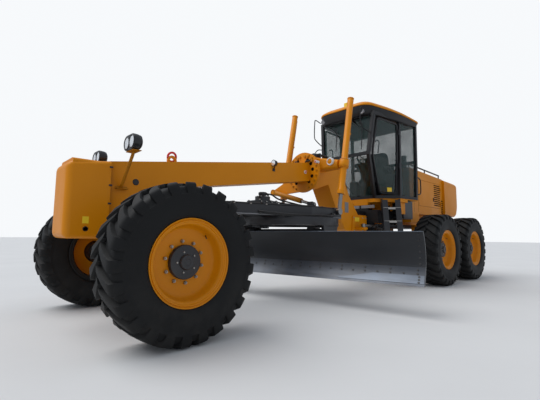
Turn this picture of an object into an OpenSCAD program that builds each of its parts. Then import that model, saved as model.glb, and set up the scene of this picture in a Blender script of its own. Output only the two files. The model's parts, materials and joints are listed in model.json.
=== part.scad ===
// Articulated motor grader with a raised blade, seen as a parked machine.
// X points forwards, Y to the left and Z up. Positions are written from the
// front axle, and placed() moves them so that the origin is under the middle.

/* [Wheels and track] */
// Radius over the tread lugs
tyre_r = 665; // [620:5:700]
// Width of a tyre at its sidewalls
tyre_w = 445; // [420:5:470]
// Radius of the rim's bead seat
seat_r = 318; // [300:2:330]
// Radius over the rim's flanges
flange_r = 362; // [345:1:380]
// Lugs on each half of a tyre's tread
lug_count = 25; // [20:1:30]
// Width over a rim's flanges
rim_w = 384; // [360:4:400]
// Distance from the centre line to a wheel's middle plane
track_half = 1078; // [1060:2:1120]
// Front axle to the middle of the tandem
wheelbase = 6219; // [6150:5:6300]
// Distance between the two wheels of one tandem
tandem_gap = 1540; // [1480:5:1600]
// Radius of a wheel spindle
spindle_r = 55; // [45:1:62]
// Radius of a wheel's hub
hub_r = 143; // [120:1:150]

/* [Front axle] */
// Radius of a kingpin
kingpin_r = 40; // [32:1:45]
// Distance from a wheel's middle plane in to its kingpin
kingpin_in = 148; // [140:1:156]
// Distance from a kingpin in to its lean pin
lean_in = 190; // [184:1:204]
// Height of the lean pins
lean_z = 500; // [490:2:510]
// Height of the bar that joins the lean carriers
lean_bar_z = 860; // [850:1:866]
// Height of the tie rod
tie_z = 640; // [636:1:644]
// Distance from a kingpin back to the tie rod
tie_x = 130; // [128:1:134]
// Radius of the tie rod
tie_r = 26; // [22:1:28]

/* [Front frame] */
// Foremost point of the nose
nose_x = 700; // [660:5:740]
// Half width of the beam
beam_half = 150; // [130:2:165]
// Depth of the beam
beam_h = 300; // [270:5:320]
// Height of the beam's top above the front axle
beam_top_z = 1662; // [1640:2:1690]
// Rise of the beam for each millimetre rearwards
beam_rise = 0.1476; // [0.14:0.001:0.155]
// Half width of the nose cover
nose_half = 225; // [200:5:240]
// Radius of the saddle plate
saddle_r = 330; // [310:5:345]
// Half width of the gooseneck
neck_half = 180; // [165:5:195]
// Vertical hinge between the frames, behind the front axle
hinge_back = 4250; // [4235:1:4260]
// Radius of the frame hinge pin
hinge_r = 45; // [38:1:50]

// Radius of the lifting eye's hole
eye_bore_r = 30; // [24:1:34]
// Radius of the lifting eye's outside
eye_out_r = 58; // [52:1:66]

/* [Blade group] */
// Centre of the circle, behind the front axle
circle_back = 2450; // [2430:5:2470]
// Outer radius of the circle
circle_r = 765; // [740:5:790]
// Inner radius of the circle
circle_in_r = 640; // [620:5:650]
// Length of the blade
blade_l = 4150; // [4100:5:4160]
// Radius of the blade's curve
blade_r = 500; // [480:5:520]
// Thickness of the blade plate
blade_t = 22; // [18:1:26]
// Turn of the blade, its left end rearwards
blade_turn = 10.8; // [8:0.2:14]
// Offset of the blade along itself
blade_offset = -22.5; // [-40:0.5:0]
// Thickness of the cutting edge
edge_t = 19; // [16:1:24]
// Half distance between the arms that carry the blade
arm_y = 710; // [706:1:722]

/* [Cylinders] */
// Outer radius of a lift cylinder
lift_r = 50; // [44:1:56]
// Radius of a lift cylinder's rod
lift_rod_r = 30; // [25:1:34]
// Distance from the centre line to a lift cylinder
lift_y = 620; // [610:1:630]
// Outer radius of the smaller cylinders
cyl_r = 42; // [38:1:45]
// Radius of the smaller rods
rod_r = 24; // [20:1:28]

/* [Cab] */
// Thickness of the cab's posts and door frames
post_t = 56; // [44:2:64]
// Thickness of the panes
pane_t = 8; // [6:1:12]
// Opening for a door inside its posts
door_gap = 8; // [6:1:12]

/* [Rear frame and hood] */
// Rearmost point, behind the front axle
tail_back = 8050; // [8000:5:8100]
// Half width of the hood
hood_half = 550; // [530:5:570]
// Thickness of the hood's walls and doors
hood_t = 25; // [20:1:30]
// Half width of the radiator guard
guard_half = 600; // [585:5:620]
// Width of a frame rail
rail_w = 100; // [80:5:120]
// Gap between a tandem case and the tyres beside it
case_gap = 45.5; // [35:0.5:60]
// Width of a tandem case
case_w = 200; // [180:5:215]

// Radius of the rear towing pin's hole
tow_bore_r = 28; // [22:1:34]

/* [Hidden] */
$fn = 48;
// Clearance round a turning pin
run = 0.06;
// Clearance round a sliding rod
slide = 0.5;
// Gap between faces of pieces that move past each other
gap = 6;
// Gap between seated pieces of one body
seat = 0.3;
// Small overlap that joins solids of one node
bite = 2;

mid_x = (nose_x - tail_back) / 2;
hinge_x = -hinge_back;
circle_x = -circle_back;
rear_x = -wheelbase;
wheel_z = tyre_r;
kingpin_y = track_half - kingpin_in;
lean_y = kingpin_y - lean_in;
case_in = track_half - tyre_w / 2 - case_gap - case_w;
mid_wheel_x = rear_x + tandem_gap / 2;
last_wheel_x = rear_x - tandem_gap / 2;

// Shared shapes

module placed() translate([-mid_x, 0, 0]) children();

// A box from its lowest corner to its highest corner
module block(low, high) translate(low) cube(high - low);

// A cylinder along X, Y or Z from one end to the other
module rod_x(r, from, to, y = 0, z = 0)
    translate([from, y, z]) rotate([0, 90, 0]) cylinder(r = r, h = to - from);
module rod_y(r, from, to, x = 0, z = 0)
    translate([x, from, z]) rotate([-90, 0, 0]) cylinder(r = r, h = to - from);
module rod_z(r, from, to, x = 0, y = 0)
    translate([x, y, from]) cylinder(r = r, h = to - from);

// A profile of X and Z points carried across Y
module across(half, points, from = undef, to = undef)
    translate([0, is_undef(to) ? half : to, 0])
        rotate([90, 0, 0])
            linear_extrude(is_undef(to) ? 2 * half : to - from)
                polygon(points);

// A round bar between two points
module bar(a, b, r) {
    v = b - a;
    len = norm(v);
    translate(a)
        rotate([0, acos(v.z / len), atan2(v.y, v.x)])
            cylinder(r = r, h = len);
}

// A profile of Y and Z points carried along X
module along(from, to, points)
    translate([from, 0, 0])
        rotate([90, 0, 90])
            linear_extrude(to - from)
                polygon(points);

// The left piece as drawn, the right one mirrored
module sides(side) {
    if (side > 0) children();
    else mirror([0, 1, 0]) children();
}

// One copy on each side
module both() for (s = [-1, 1]) sides(s) children();

// Wheels: the outer side points to +Y, the middle plane is at zero

rim_half = rim_w / 2;
flange_t = 14;
barrel_in_r = seat_r - 18;
disc_y = 50;
disc_t = 25;
hub_in_y = -60;
hub_out_y = 100;
cap_r = 90;
cap_y = 128;
bore_end_y = 72;

// Lugs: their pitch, and in pitches their width on the middle line and at the shoulder, their lead
// from shoulder to middle, and the lap of one half's lugs over the other's
lug_pitch = 360 / lug_count;
lug_lap = 0.04;
lug_mid_w = 0.5 + lug_lap;
lug_edge_w = 0.57;
lug_lead = 0.8;

// Rings of the tyre from its middle line out to its bore: radius and distance from the middle
lug_top_ring = [tyre_r, 0];
lug_foot_ring = [tyre_r - 33, 0];
lug_edge_ring = [tyre_r - 7, tyre_w / 2 - 14];
shoulder_ring = [tyre_r - 68, tyre_w / 2 - 5];
bulge_ring = [(flange_r + tyre_r) / 2 - 20, tyre_w / 2];
bore_ring = [(flange_r + seat) / cos(lug_pitch / 2), rim_half + 15];

function on_ring(ring, half, turns) = [
    ring[0] * cos(90 + turns * lug_pitch), ring[0] * sin(90 + turns * lug_pitch), half * ring[1]
];
// Start, end and middle of lug k at its half's shoulder; the inner half's lugs lie half a pitch on
function lug_phase(half) = half > 0 ? 0 : 0.5;
function lug_edge_mid(half, k) = k + lug_phase(half) + lug_mid_w / 2 + lug_lead;
rim_outline = [
    [spindle_r + run, hub_in_y], [hub_r, hub_in_y], [hub_r, disc_y],
    [barrel_in_r, disc_y], [barrel_in_r, -rim_half], [flange_r, -rim_half],
    [flange_r, -rim_half + flange_t], [seat_r, -rim_half + flange_t],
    [seat_r, rim_half - flange_t], [flange_r, rim_half - flange_t],
    [flange_r, rim_half], [barrel_in_r, rim_half], [barrel_in_r, disc_y + disc_t],
    [hub_r, disc_y + disc_t], [hub_r, hub_out_y], [cap_r, hub_out_y],
    [cap_r, cap_y], [0, cap_y], [0, bore_end_y], [spindle_r + run, bore_end_y]
];

// Wheel places: how far behind the front axle, and which side
function wheel_x(row) = row == 0 ? 0 : row == 1 ? mid_wheel_x : last_wheel_x;

module wheel_at(row, side)
    placed() translate([wheel_x(row), side * track_half, wheel_z])
        sides(side) rotate([-90, 0, 0]) children();

// Points of the tyre: four of each lug pitch on the middle line, top and foot, then each half's rings
lug_n = lug_count - 1;
mid_turns = [for (k = [0:lug_n], t = [0, lug_lap, 0.5, lug_mid_w]) k + t];
function half_points(half) = concat(
    [for (ring = [lug_edge_ring, shoulder_ring], k = [0:lug_n], e = [-1, 1])
        on_ring(ring, half, lug_edge_mid(half, k) + e * lug_edge_w / 2)],
    [for (k = [0:lug_n]) on_ring(bulge_ring, half, lug_edge_mid(half, k))],
    [for (k = [0:lug_n]) on_ring(bore_ring, half, lug_edge_mid(1, k))]
);
tyre_points = concat(
    [for (ring = [lug_top_ring, lug_foot_ring], t = mid_turns) on_ring(ring, 0, t)],
    half_points(1), half_points(-1)
);

// Numbers of those points
function half_start(half) = lug_count * (half > 0 ? 8 : 14);
function mid_top(half, k, j) = (4 * k + (half > 0 ? 0 : 2) + j) % (4 * lug_count);
function mid_foot(half, k, j) = 4 * lug_count + mid_top(half, k, j);
function edge_at(half, k, e) = half_start(half) + (2 * k + e) % (2 * lug_count);
function shoulder_at(half, k, e) = edge_at(half, k, e) + 2 * lug_count;
function bulge_at(half, k) = half_start(half) + 4 * lug_count + k % lug_count;
function bore_at(half, k) = bulge_at(half, k) + lug_count;

// Two triangles of the quad a, b, c, d, and a face list turned over for the inner half
function quad(a, b, c, d) = [[a, b, c], [a, c, d]];
function facing(half, faces) = half > 0 ? faces : [for (f = faces) [f[2], f[1], f[0]]];

function lug_faces(half, k) = let(
    top = [for (j = [0:3]) mid_top(half, k, j)],
    foot = [for (j = [0:4]) mid_foot(half, k, j)],
    edge = [edge_at(half, k, 0), edge_at(half, k, 1)],
    low = [for (e = [0:2]) shoulder_at(half, k, e)],
    bulge = [bulge_at(half, k), bulge_at(half, k + 1)],
    bore = [bore_at(half, k), bore_at(half, k + 1)]
) concat(
    [[edge[0], top[1], top[0]], [edge[0], top[2], top[1]], [edge[0], edge[1], top[2]], [edge[1], top[3], top[2]]],
    quad(top[1], top[2], foot[2], foot[1]),
    quad(low[1], low[2], foot[4], foot[3]),
    quad(low[0], edge[0], top[0], foot[0]),
    quad(edge[1], low[1], foot[3], top[3]),
    quad(low[0], low[1], edge[1], edge[0]),
    [[bulge[0], low[1], low[0]], [bulge[1], low[2], low[1]], [bulge[0], bulge[1], low[1]]],
    quad(bore[0], bore[1], bulge[1], bulge[0])
);

module tyre_ring()
    polyhedron(points = tyre_points, faces = concat(
        [for (half = [1, -1], k = [0:lug_n], f = facing(half, lug_faces(half, k))) f],
        [for (k = [0:lug_n], f = quad(bore_at(-1, k), bore_at(-1, k + 1), bore_at(1, k + 1), bore_at(1, k))) f]
    ));

module tyre(row, side)
    color([0.08, 0.08, 0.085])
        wheel_at(row, side) tyre_ring();

module rim(row, side)
    color([0.85, 0.52, 0.08])
        wheel_at(row, side) rotate_extrude($fn = 96) polygon(rim_outline);

// Front axle group

eye_r = 65;
fork_in = 96;
fork_t = 20;
axle_half_x = 88;
pivot_r = 40;
pivot_z = 850;
boss_r = 80;
axle_top = 760;
axle_low = 690;
lean_pin_r = 34;
sleeve_r = 62;
arm_low_z = 440;
arm_t = 42;
arm_top_z = 790;
web_y = lean_y + eye_r + 14;
web_t = 32;
bar_x = 150;
bar_r = 22;
lean_cyl_z = 748;
steer_barrel_r = 42;
steer_half = 300;
lean_cyl_far = -520;
lean_cyl_near = -120;

module front_axle() color([0.75, 0.46, 0.07]) placed() {
    difference() {
        union() {
            along(-axle_half_x, axle_half_x, [
                [-lean_y, lean_z - eye_r], [-lean_y + 180, lean_z + 110],
                [-300, axle_low], [300, axle_low],
                [lean_y - 180, lean_z + 110], [lean_y, lean_z - eye_r],
                [lean_y, lean_z + eye_r], [lean_y - 140, axle_top - 40],
                [260, axle_top + 40], [-260, axle_top + 40],
                [-lean_y + 140, axle_top - 40], [-lean_y, lean_z + eye_r]
            ]);
            both() rod_x(eye_r, -axle_half_x, axle_half_x, lean_y, lean_z);
            rod_x(boss_r, -fork_in + seat, fork_in - seat, 0, pivot_z);
            rod_y(steer_barrel_r, -steer_half, steer_half, -tie_x, tie_z);
            both() block([-tie_x, 215, tie_z - 20], [-axle_half_x + 40, 265, axle_low + 20]);
            rod_y(cyl_r, lean_cyl_far, lean_cyl_near, bar_x, lean_cyl_z);
            for (y = [lean_cyl_far + 20, lean_cyl_near - 60])
                block([axle_half_x - bite, y, lean_cyl_z - 30], [bar_x, y + 40, lean_cyl_z + 30]);
        }
        both() rod_x(lean_pin_r + run, -200, 200, lean_y, lean_z);
        rod_x(pivot_r + seat, -200, 200, 0, pivot_z);
        rod_y(tie_r + slide, -400, 400, -tie_x, tie_z);
        rod_y(rod_r + slide, lean_cyl_far + 20, 0, bar_x, lean_cyl_z);
    }
}

module lean_carrier(side) color([0.75, 0.46, 0.07]) placed() sides(side) {
    for (s = [-1, 1])
        block([s > 0 ? fork_in : -fork_in - fork_t, lean_y - eye_r, lean_z - 46],
              [s > 0 ? fork_in + fork_t : -fork_in, web_y + web_t, lean_z + 50]);
    block([-fork_in - fork_t, web_y, lean_z - 60], [fork_in + fork_t, web_y + web_t, lean_z + 50]);
    rod_x(lean_pin_r, -fork_in - bite, fork_in + bite, lean_y, lean_z);
    block([-30, web_y, lean_z], [30, web_y + web_t, lean_bar_z + 40]);
    for (z = [arm_low_z, arm_top_z])
        block([-50, web_y, z], [50, kingpin_y + 50, z + arm_t]);
    rod_z(kingpin_r, arm_low_z + bite, arm_top_z + bite, 0, kingpin_y);
    block([-30, lean_y + 10, lean_bar_z - 36], [30, web_y + web_t, lean_bar_z + 40]);
}

module knuckle(side) color([0.2, 0.2, 0.2]) placed() sides(side)
    difference() {
        union() {
            rod_z(sleeve_r, arm_low_z + arm_t + gap, arm_top_z - gap, 0, kingpin_y);
            rod_y(spindle_r, kingpin_y, track_half + bore_end_y - gap, 0, wheel_z);
            block([-tie_x + 34, kingpin_y - 22, tie_z - 20], [0, kingpin_y + 22, tie_z + 20]);
        }
        rod_z(kingpin_r + run, arm_low_z, arm_top_z + arm_t, 0, kingpin_y);
    }

module tie_rod() color([0.25, 0.25, 0.26]) placed() {
    rod_y(tie_r, 12 - kingpin_y, kingpin_y - 12, -tie_x, tie_z);
    for (s = [-1, 1])
        rod_x(26, -tie_x - 28, -tie_x + 26, s * (kingpin_y - 12), tie_z);
}

module lean_bar() color([0.75, 0.46, 0.07]) placed() {
    bend_y = lean_y - 110;
    end_x = 62;
    rod_y(bar_r, -bend_y, bend_y, bar_x, lean_bar_z);
    both() {
        block([end_x - 24, bend_y - 30, lean_bar_z - bar_r - 4], [bar_x, bend_y + 10, lean_bar_z + bar_r + 4]);
        rod_y(20, bend_y - 10, lean_y + 42, end_x, lean_bar_z);
        rod_x(28, end_x - 26, end_x + 12, lean_y + 38, lean_bar_z);
    }
    rod_y(rod_r, -330, 240, bar_x, lean_cyl_z);
    block([bar_x - 15, 200, lean_cyl_z - rod_r], [bar_x + 15, 240, lean_bar_z]);
}

// Front frame

frame_front_x = 310;
frame_low_z = 960;
lug_t = 24;
draw_x = -330;
draw_z = 1110;
draw_pin_r = 34;
eye_half = 54;
saddle_x = -2780;
saddle_t = 50;
saddle_z = 1930;
trunnion_x = -3060;
trunnion_z = 2030;
trunnion_pin_r = 30;
arm_out_y = 535;
shift_x = -2715;
shift_y = -600;
shift_z = 1640;
shift_pin_r = 24;
shift_eye = 28;
// The drawbar's arc carries its lug 18 mm nearer to the rod's eye
shift_play = 26;
foot_low = 940;
foot_top = 1290;
ear_x = -4050;
ear_y = 330;
hinge_cyl_z = 1090;
ear_pin_r = 24;

eye_x = -442;
eye_t = 30;

function beam_z(x) = beam_top_z - beam_rise * x;

module front_frame() color([0.85, 0.52, 0.08]) placed() difference() {
    union() {
        across(beam_half, [
            [frame_front_x, frame_low_z], [frame_front_x, beam_z(frame_front_x)],
            [saddle_x, beam_z(saddle_x)], [saddle_x, beam_z(saddle_x) - beam_h],
            [-420, beam_z(-420) - beam_h], [-420, frame_low_z + 60], [-240, frame_low_z]
        ]);
        for (x = [-fork_in - lug_t, fork_in])
            block([x, -90, pivot_z - 90], [x + lug_t, 90, frame_low_z + 20]);
        rod_x(pivot_r, -fork_in - lug_t, fork_in + lug_t, 0, pivot_z);
        rod_x(saddle_r, saddle_x - saddle_t, saddle_x, 0, saddle_z);
        across(neck_half, [
            [saddle_x - 10, 2180], [-3380, 2190], [-3600, 2070], [-3840, 1620],
            [-4120, foot_top], [hinge_x - 150, foot_top], [hinge_x - 150, foot_low],
            [-3800, foot_low], [-3700, 1020], [-3440, 1380], [-3230, 1760],
            [-2900, 1650], [saddle_x - 10, 1650]
        ]);
        both() {
            hull() {
                block([trunnion_x - 75, 100, 1960], [trunnion_x + 200, 150, 2170]);
                rod_y(76, 470, arm_out_y, trunnion_x, trunnion_z);
            }
            block([ear_x - 60, 100, hinge_cyl_z - 70], [ear_x + 60, ear_y + 55, hinge_cyl_z - 36]);
        }
        along(saddle_x - saddle_t, saddle_x, [
            [shift_y - 50, shift_z - 50], [0, saddle_z - saddle_r + 20], [100, saddle_z],
            [-100, saddle_z], [shift_y - 50, shift_z + 60]
        ]);
        rod_x(shift_pin_r, saddle_x - 10, shift_x + cyl_r, shift_y, shift_z);
        rod_y(eye_out_r, -eye_t / 2, eye_t / 2, eye_x, beam_z(eye_x) + 36);
    }
    rod_y(eye_bore_r, -eye_t, eye_t, eye_x, beam_z(eye_x) + 36);
    // Slot for the drawbar's eye, with the pin left standing
    difference() {
        block([draw_x - 180, -eye_half - gap, draw_z - 200], [draw_x + 100, eye_half + gap, draw_z + 230]);
        rod_y(draw_pin_r, -70, 70, draw_x, draw_z);
    }
    both() rod_y(trunnion_pin_r + run, 440, 600, trunnion_x, trunnion_z);
    rod_z(hinge_r + run, foot_low - 10, foot_top + 10, hinge_x);
}

nose_low = 845;
nose_wall = 12;
nose_back_x = frame_front_x + seat;

module nose_shell(shrink) {
    w = nose_half - shrink;
    hull()
        for (s = [-1, 1]) {
            for (z = [nose_low + shrink + 50, 1500 - shrink])
                translate([nose_x - 60 - shrink, s * (w - 60), z])
                    sphere(r = 60, $fn = 24);
            block([nose_back_x - shrink, s > 0 ? w - 60 : -w, nose_low + shrink],
                  [nose_back_x + 20, s > 0 ? w : -w + 60, 1610 - shrink]);
        }
}

module nose_cover() color([0.85, 0.52, 0.08]) placed() difference() {
    nose_shell(0);
    nose_shell(nose_wall);
}

lamp_x = 203;
lamp_y = 480;
lamp_z = 1760;
lamp_r = 72;

module headlamps() color([0.1, 0.1, 0.1]) placed() both() {
    bar([lamp_x - 30, beam_half + 12, 1365], [lamp_x - 10, lamp_y, lamp_z - lamp_r + 10], 15);
    block([lamp_x - 80, beam_half + seat, 1330], [lamp_x + 20, beam_half + 14, 1400]);
    for (y = [-60, 60])
        rod_x(lamp_r, lamp_x - 50, lamp_x + 50, lamp_y + y, lamp_z);
}

// Lift cylinders

lift_tilt = 10.6;
lift_top = 1130;
lift_low = 488;
lift_eye = 773;
lift_rod_l = 1300;
collar_r = 76;

module lift_at(side) placed() sides(side)
    translate([trunnion_x, lift_y, trunnion_z]) rotate([0, -lift_tilt, 0]) children();

module lift_barrel(side) color([0.85, 0.52, 0.08]) lift_at(side) {
    difference() {
        union() {
            rod_z(lift_r, -lift_low, lift_top);
            rod_z(collar_r, -50, 50);
            rod_z(lift_r + 10, -lift_low, -lift_low + 60);
        }
        rod_z(lift_rod_r + slide, -lift_low - 10, lift_top - 30);
    }
    rod_y(trunnion_pin_r, -lift_y + 480, -lift_rod_r - 5);
}

module lift_rod(side) color([0.8, 0.8, 0.82]) lift_at(side) {
    rod_z(lift_rod_r, -lift_eye, -lift_eye + lift_rod_l);
    rod_y(52, -26, 26, 0, -lift_eye);
}

// Drawbar

bar_low = 1160;
bar_top = 1300;
ball_x = trunnion_x + lift_eye * sin(lift_tilt);
ball_z = trunnion_z - lift_eye * cos(lift_tilt);
ring_low = 1040;
ring_top = bar_low - gap;
shoe_r = circle_in_r - slide;

module drawbar() color([0.13, 0.13, 0.15]) placed() difference() {
    union() {
        difference() {
            translate([0, 0, bar_low])
                linear_extrude(bar_top - bar_low)
                    polygon([
                        [-420, eye_half], [-700, 110], [-1850, 430], [-2300, 600], [-3020, 585],
                        [-3020, -585], [-2300, -600], [-1850, -430], [-700, -110], [-420, -eye_half]
                    ]);
            translate([0, 0, bar_low - 1])
                linear_extrude(bar_top - bar_low + 2)
                    polygon([[-1150, 0], [-1700, 200], [-1700, -200]]);
            translate([0, 0, bar_low - 1])
                linear_extrude(bar_top - bar_low + 2)
                    polygon([[-2130, 380], [-2620, 380], [-2620, -380], [-2130, -380]]);
        }
        block([-520, -eye_half, draw_z - 56], [draw_x, eye_half, bar_top - 60]);
        rod_y(60, -eye_half, eye_half, draw_x, draw_z);
        both() rod_y(56, 540, lift_y - 26 - gap, ball_x, ball_z);
        block([shift_x + shift_eye + shift_play, 225, bar_top - bite],
              [shift_x + shift_eye + shift_play + 30, 325, 1420]);
        block([-2080, -140, bar_top - bite], [-1720, 140, 1390]);
        rod_z(110, 1380, 1450, -1900);
        intersection() {
            rod_z(shoe_r, ring_low - 30, bar_low + bite, circle_x);
            difference() {
                union() {
                    block([circle_x - 700, -90, 0], [circle_x + 700, 90, 2000]);
                    block([circle_x - 90, -700, 0], [circle_x + 90, 700, 2000]);
                }
                rod_z(shoe_r - 90, 0, 2000, circle_x);
            }
        }
        for (a = [0:90:270])
            translate([circle_x, 0, ring_low - 30])
                rotate([0, 0, a])
                    block([shoe_r - 60, -80, 0], [shoe_r + 40, 80, 30 - gap]);
    }
    rod_y(draw_pin_r + run, -100, 100, draw_x, draw_z);
}

// Centre shift cylinder, across the machine above the drawbar

shift_end_y = 275;
shift_end_z = 1380;
shift_angle = atan2(shift_z - shift_end_z, shift_end_y - shift_y);
shift_len = norm([shift_end_y - shift_y, shift_end_z - shift_z]);
shift_barrel_l = 660;
shift_rod_l = 790;

module shift_at() placed()
    translate([shift_x, shift_y, shift_z]) rotate([-shift_angle, 0, 0]) children();

module shift_barrel() color([0.75, 0.46, 0.07]) shift_at() difference() {
    union() {
        rod_y(cyl_r, 0, shift_barrel_l);
        rod_x(50, -cyl_r, cyl_r);
    }
    rod_y(rod_r + slide, 45, shift_barrel_l + 10);
    rod_x(shift_pin_r + run, -200, 200);
}

module shift_rod() color([0.8, 0.8, 0.82]) shift_at() {
    rod_y(rod_r, shift_len - shift_rod_l, shift_len);
    rod_x(40, -shift_eye, shift_eye, shift_len);
}

// Circle and blade: local X is forwards from the circle's centre, local Y along the blade

blade_x = 422;
blade_low = 360;
blade_top = 956;
curve_x = blade_x - 104 + blade_r;
curve_z = 658;
pivot_x = 200;
tip_z = 600;
boss_out_r = 48;
back_x = curve_x - blade_r - blade_t;
carriage_x = back_x - gap - bite;
tie_low = ring_low - 80;
tie_top = ring_low - 40;
tip_pin_r = 30;
tip_eye_pin_r = 22;
plate_t = 40;
plate_y = arm_y - plate_t / 2 - gap - plate_t;
rail_low_z = 470;
rail_high_z = 800;
rail_s = 50;
rail_x = 250;
rail_half = 1450;
side_x = 248;
side_z = 700;
lug_y = 1215;
tip_q = [-150, 910];
tip_e = [150, 840];
tip_len = norm(tip_e - tip_q);
tip_angle = atan2(tip_q.y - tip_e.y, tip_e.x - tip_q.x);

module blade_at() placed() translate([circle_x, 0, 0]) rotate([0, 0, blade_turn]) children();

module blade_circle() color([0.14, 0.14, 0.16]) blade_at() difference() {
    union() {
        difference() {
            rod_z(circle_r, ring_low, ring_top);
            rod_z(circle_in_r, ring_low - 1, ring_top + 1);
        }
        both() {
            across(0, [
                [-220, ring_low + bite], [-180, ring_low - 100], [pivot_x - 45, tip_z - 30],
                [pivot_x - 15, tip_z + 40], [pivot_x - 15, tip_z + 230], [pivot_x + 40, ring_low + bite]
            ], arm_y - plate_t / 2, arm_y + plate_t / 2);
            rod_y(boss_out_r, arm_y - plate_t / 2, arm_y + plate_t / 2, pivot_x, tip_z);
            block([tip_q.x - 40, 32, tip_q.y - 40], [tip_q.x + 40, 56, tie_top - bite]);
        }
        block([tip_q.x - 30, -arm_y, tie_low], [tip_q.x + 100, arm_y, tie_top]);
        rod_y(tip_eye_pin_r, -56, 56, tip_q.x, tip_q.y);
    }
    both() rod_y(tip_pin_r + run, arm_y - 60, arm_y + 60, pivot_x, tip_z);
}

module blade_carriage() color([0.16, 0.16, 0.18]) blade_at() difference() {
    union() {
        both() {
            across(0, [
                [pivot_x - 70, tip_z - 70], [carriage_x - 20, rail_low_z - 50], [carriage_x, rail_low_z - 50],
                [carriage_x, rail_high_z + 50], [carriage_x - 60, rail_high_z + 50], [pivot_x - 70, tip_z + 130]
            ], plate_y, plate_y + plate_t);
            rod_y(tip_pin_r, plate_y, arm_y + plate_t / 2, pivot_x, tip_z);
            block([tip_e.x - 36, 32, tip_z + 100], [pivot_x, 56, tip_e.y + 36]);
        }
        block([pivot_x - 50, -plate_y - bite, tip_z + 90], [pivot_x, plate_y + bite, tip_z + 150]);
        rod_y(cyl_r, -650, 450, side_x, side_z);
    }
    for (z = [rail_low_z, rail_high_z])
        block([rail_x - slide, -blade_l / 2, z - rail_s / 2 - slide],
              [back_x + rail_s, blade_l / 2, z + rail_s / 2 + slide]);
    rod_y(rod_r + slide, -640, plate_y + plate_t + bite, side_x, side_z);
}

function curve_at(z, r) = curve_x - sqrt(r * r - (z - curve_z) * (z - curve_z));

module blade_section(r_out, r_in, low, high)
    intersection() {
        difference() {
            translate([curve_x, curve_z]) circle(r = r_out, $fn = 96);
            translate([curve_x, curve_z]) circle(r = r_in, $fn = 96);
        }
        translate([0, low]) square([curve_x - r_in / 2, high - low]);
    }

module moldboard() color([0.17, 0.18, 0.21]) blade_at() translate([0, blade_offset, 0]) {
    translate([0, blade_l / 2, 0])
        rotate([90, 0, 0])
            linear_extrude(blade_l)
                blade_section(blade_r + blade_t, blade_r, blade_low, blade_top);
    for (z = [rail_low_z, rail_high_z]) {
        front = min(curve_at(z - rail_s / 2, blade_r), curve_at(z + rail_s / 2, blade_r)) - gap;
        block([rail_x, -rail_half, z - rail_s / 2], [front, rail_half, z + rail_s / 2]);
    }
    translate([0, -blade_offset, 0]) {
        rod_y(rod_r, -100, lug_y + 20, side_x, side_z);
        block([side_x - 30, lug_y - 20, side_z - 35], [curve_at(side_z, blade_r) - gap, lug_y + 20, side_z + 35]);
    }
}

module cutting_edge() color([0.35, 0.36, 0.4]) blade_at() translate([0, blade_offset, 0])
    translate([0, blade_l / 2, 0])
        rotate([90, 0, 0])
            linear_extrude(blade_l)
                blade_section(blade_r - seat, blade_r - seat - edge_t, blade_low - 12, blade_low + 190);

module tip_at() blade_at()
    translate([tip_q.x, 0, tip_q.y]) rotate([0, tip_angle, 0]) children();

module tip_barrel() color([0.75, 0.46, 0.07]) tip_at() difference() {
    union() {
        rod_x(30, 0, 215);
        rod_y(34, -26, 26);
    }
    rod_x(16 + slide, 30, 220);
    rod_y(tip_eye_pin_r + run, -100, 100);
}

module tip_rod() color([0.8, 0.8, 0.82]) tip_at() {
    rod_x(16, tip_len - 250, tip_len);
    rod_y(26, -20, 20, tip_len);
}

// Frame hinge cylinders

anchor_x = -5050;
anchor_y = 430;
hinge_cyl_angle = atan2(anchor_y - ear_y, ear_x - anchor_x);
hinge_cyl_len = norm([ear_x - anchor_x, ear_y - anchor_y]);
hinge_barrel_l = 620;

module hinge_cyl_at(side) placed() sides(side)
    translate([anchor_x, anchor_y, hinge_cyl_z]) rotate([0, 0, -hinge_cyl_angle]) children();

module hinge_barrel(side) color([0.75, 0.46, 0.07]) hinge_cyl_at(side) difference() {
    union() {
        rod_x(cyl_r, 0, hinge_barrel_l);
        rod_z(46, -30, 30);
    }
    rod_x(rod_r + slide, 40, hinge_barrel_l + 10);
    rod_z(ear_pin_r + run, -100, 100);
}

module hinge_rod(side) color([0.8, 0.8, 0.82]) hinge_cyl_at(side) {
    rod_x(rod_r, hinge_barrel_l - 350, hinge_cyl_len);
    rod_z(42, -30, 30, hinge_cyl_len);
}

// Rear frame

rail_in = 270;
rail_out = rail_in + rail_w;
rail_low = 1150;
rail_top = 1400;
web_x = hinge_x - 250;
web_low = 850;
web_half = 240;
foot_r = 105;
tail_x = -tail_back;
bumper_x = tail_x + 120;
tow_z = 1130;
tow_t = 60;
hood_front_x = -5480;
hood_back_x = -7200;
cross_x = [-5720, -7090, bumper_x + 60];
cross_l = 120;
deck_t = 20;

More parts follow.
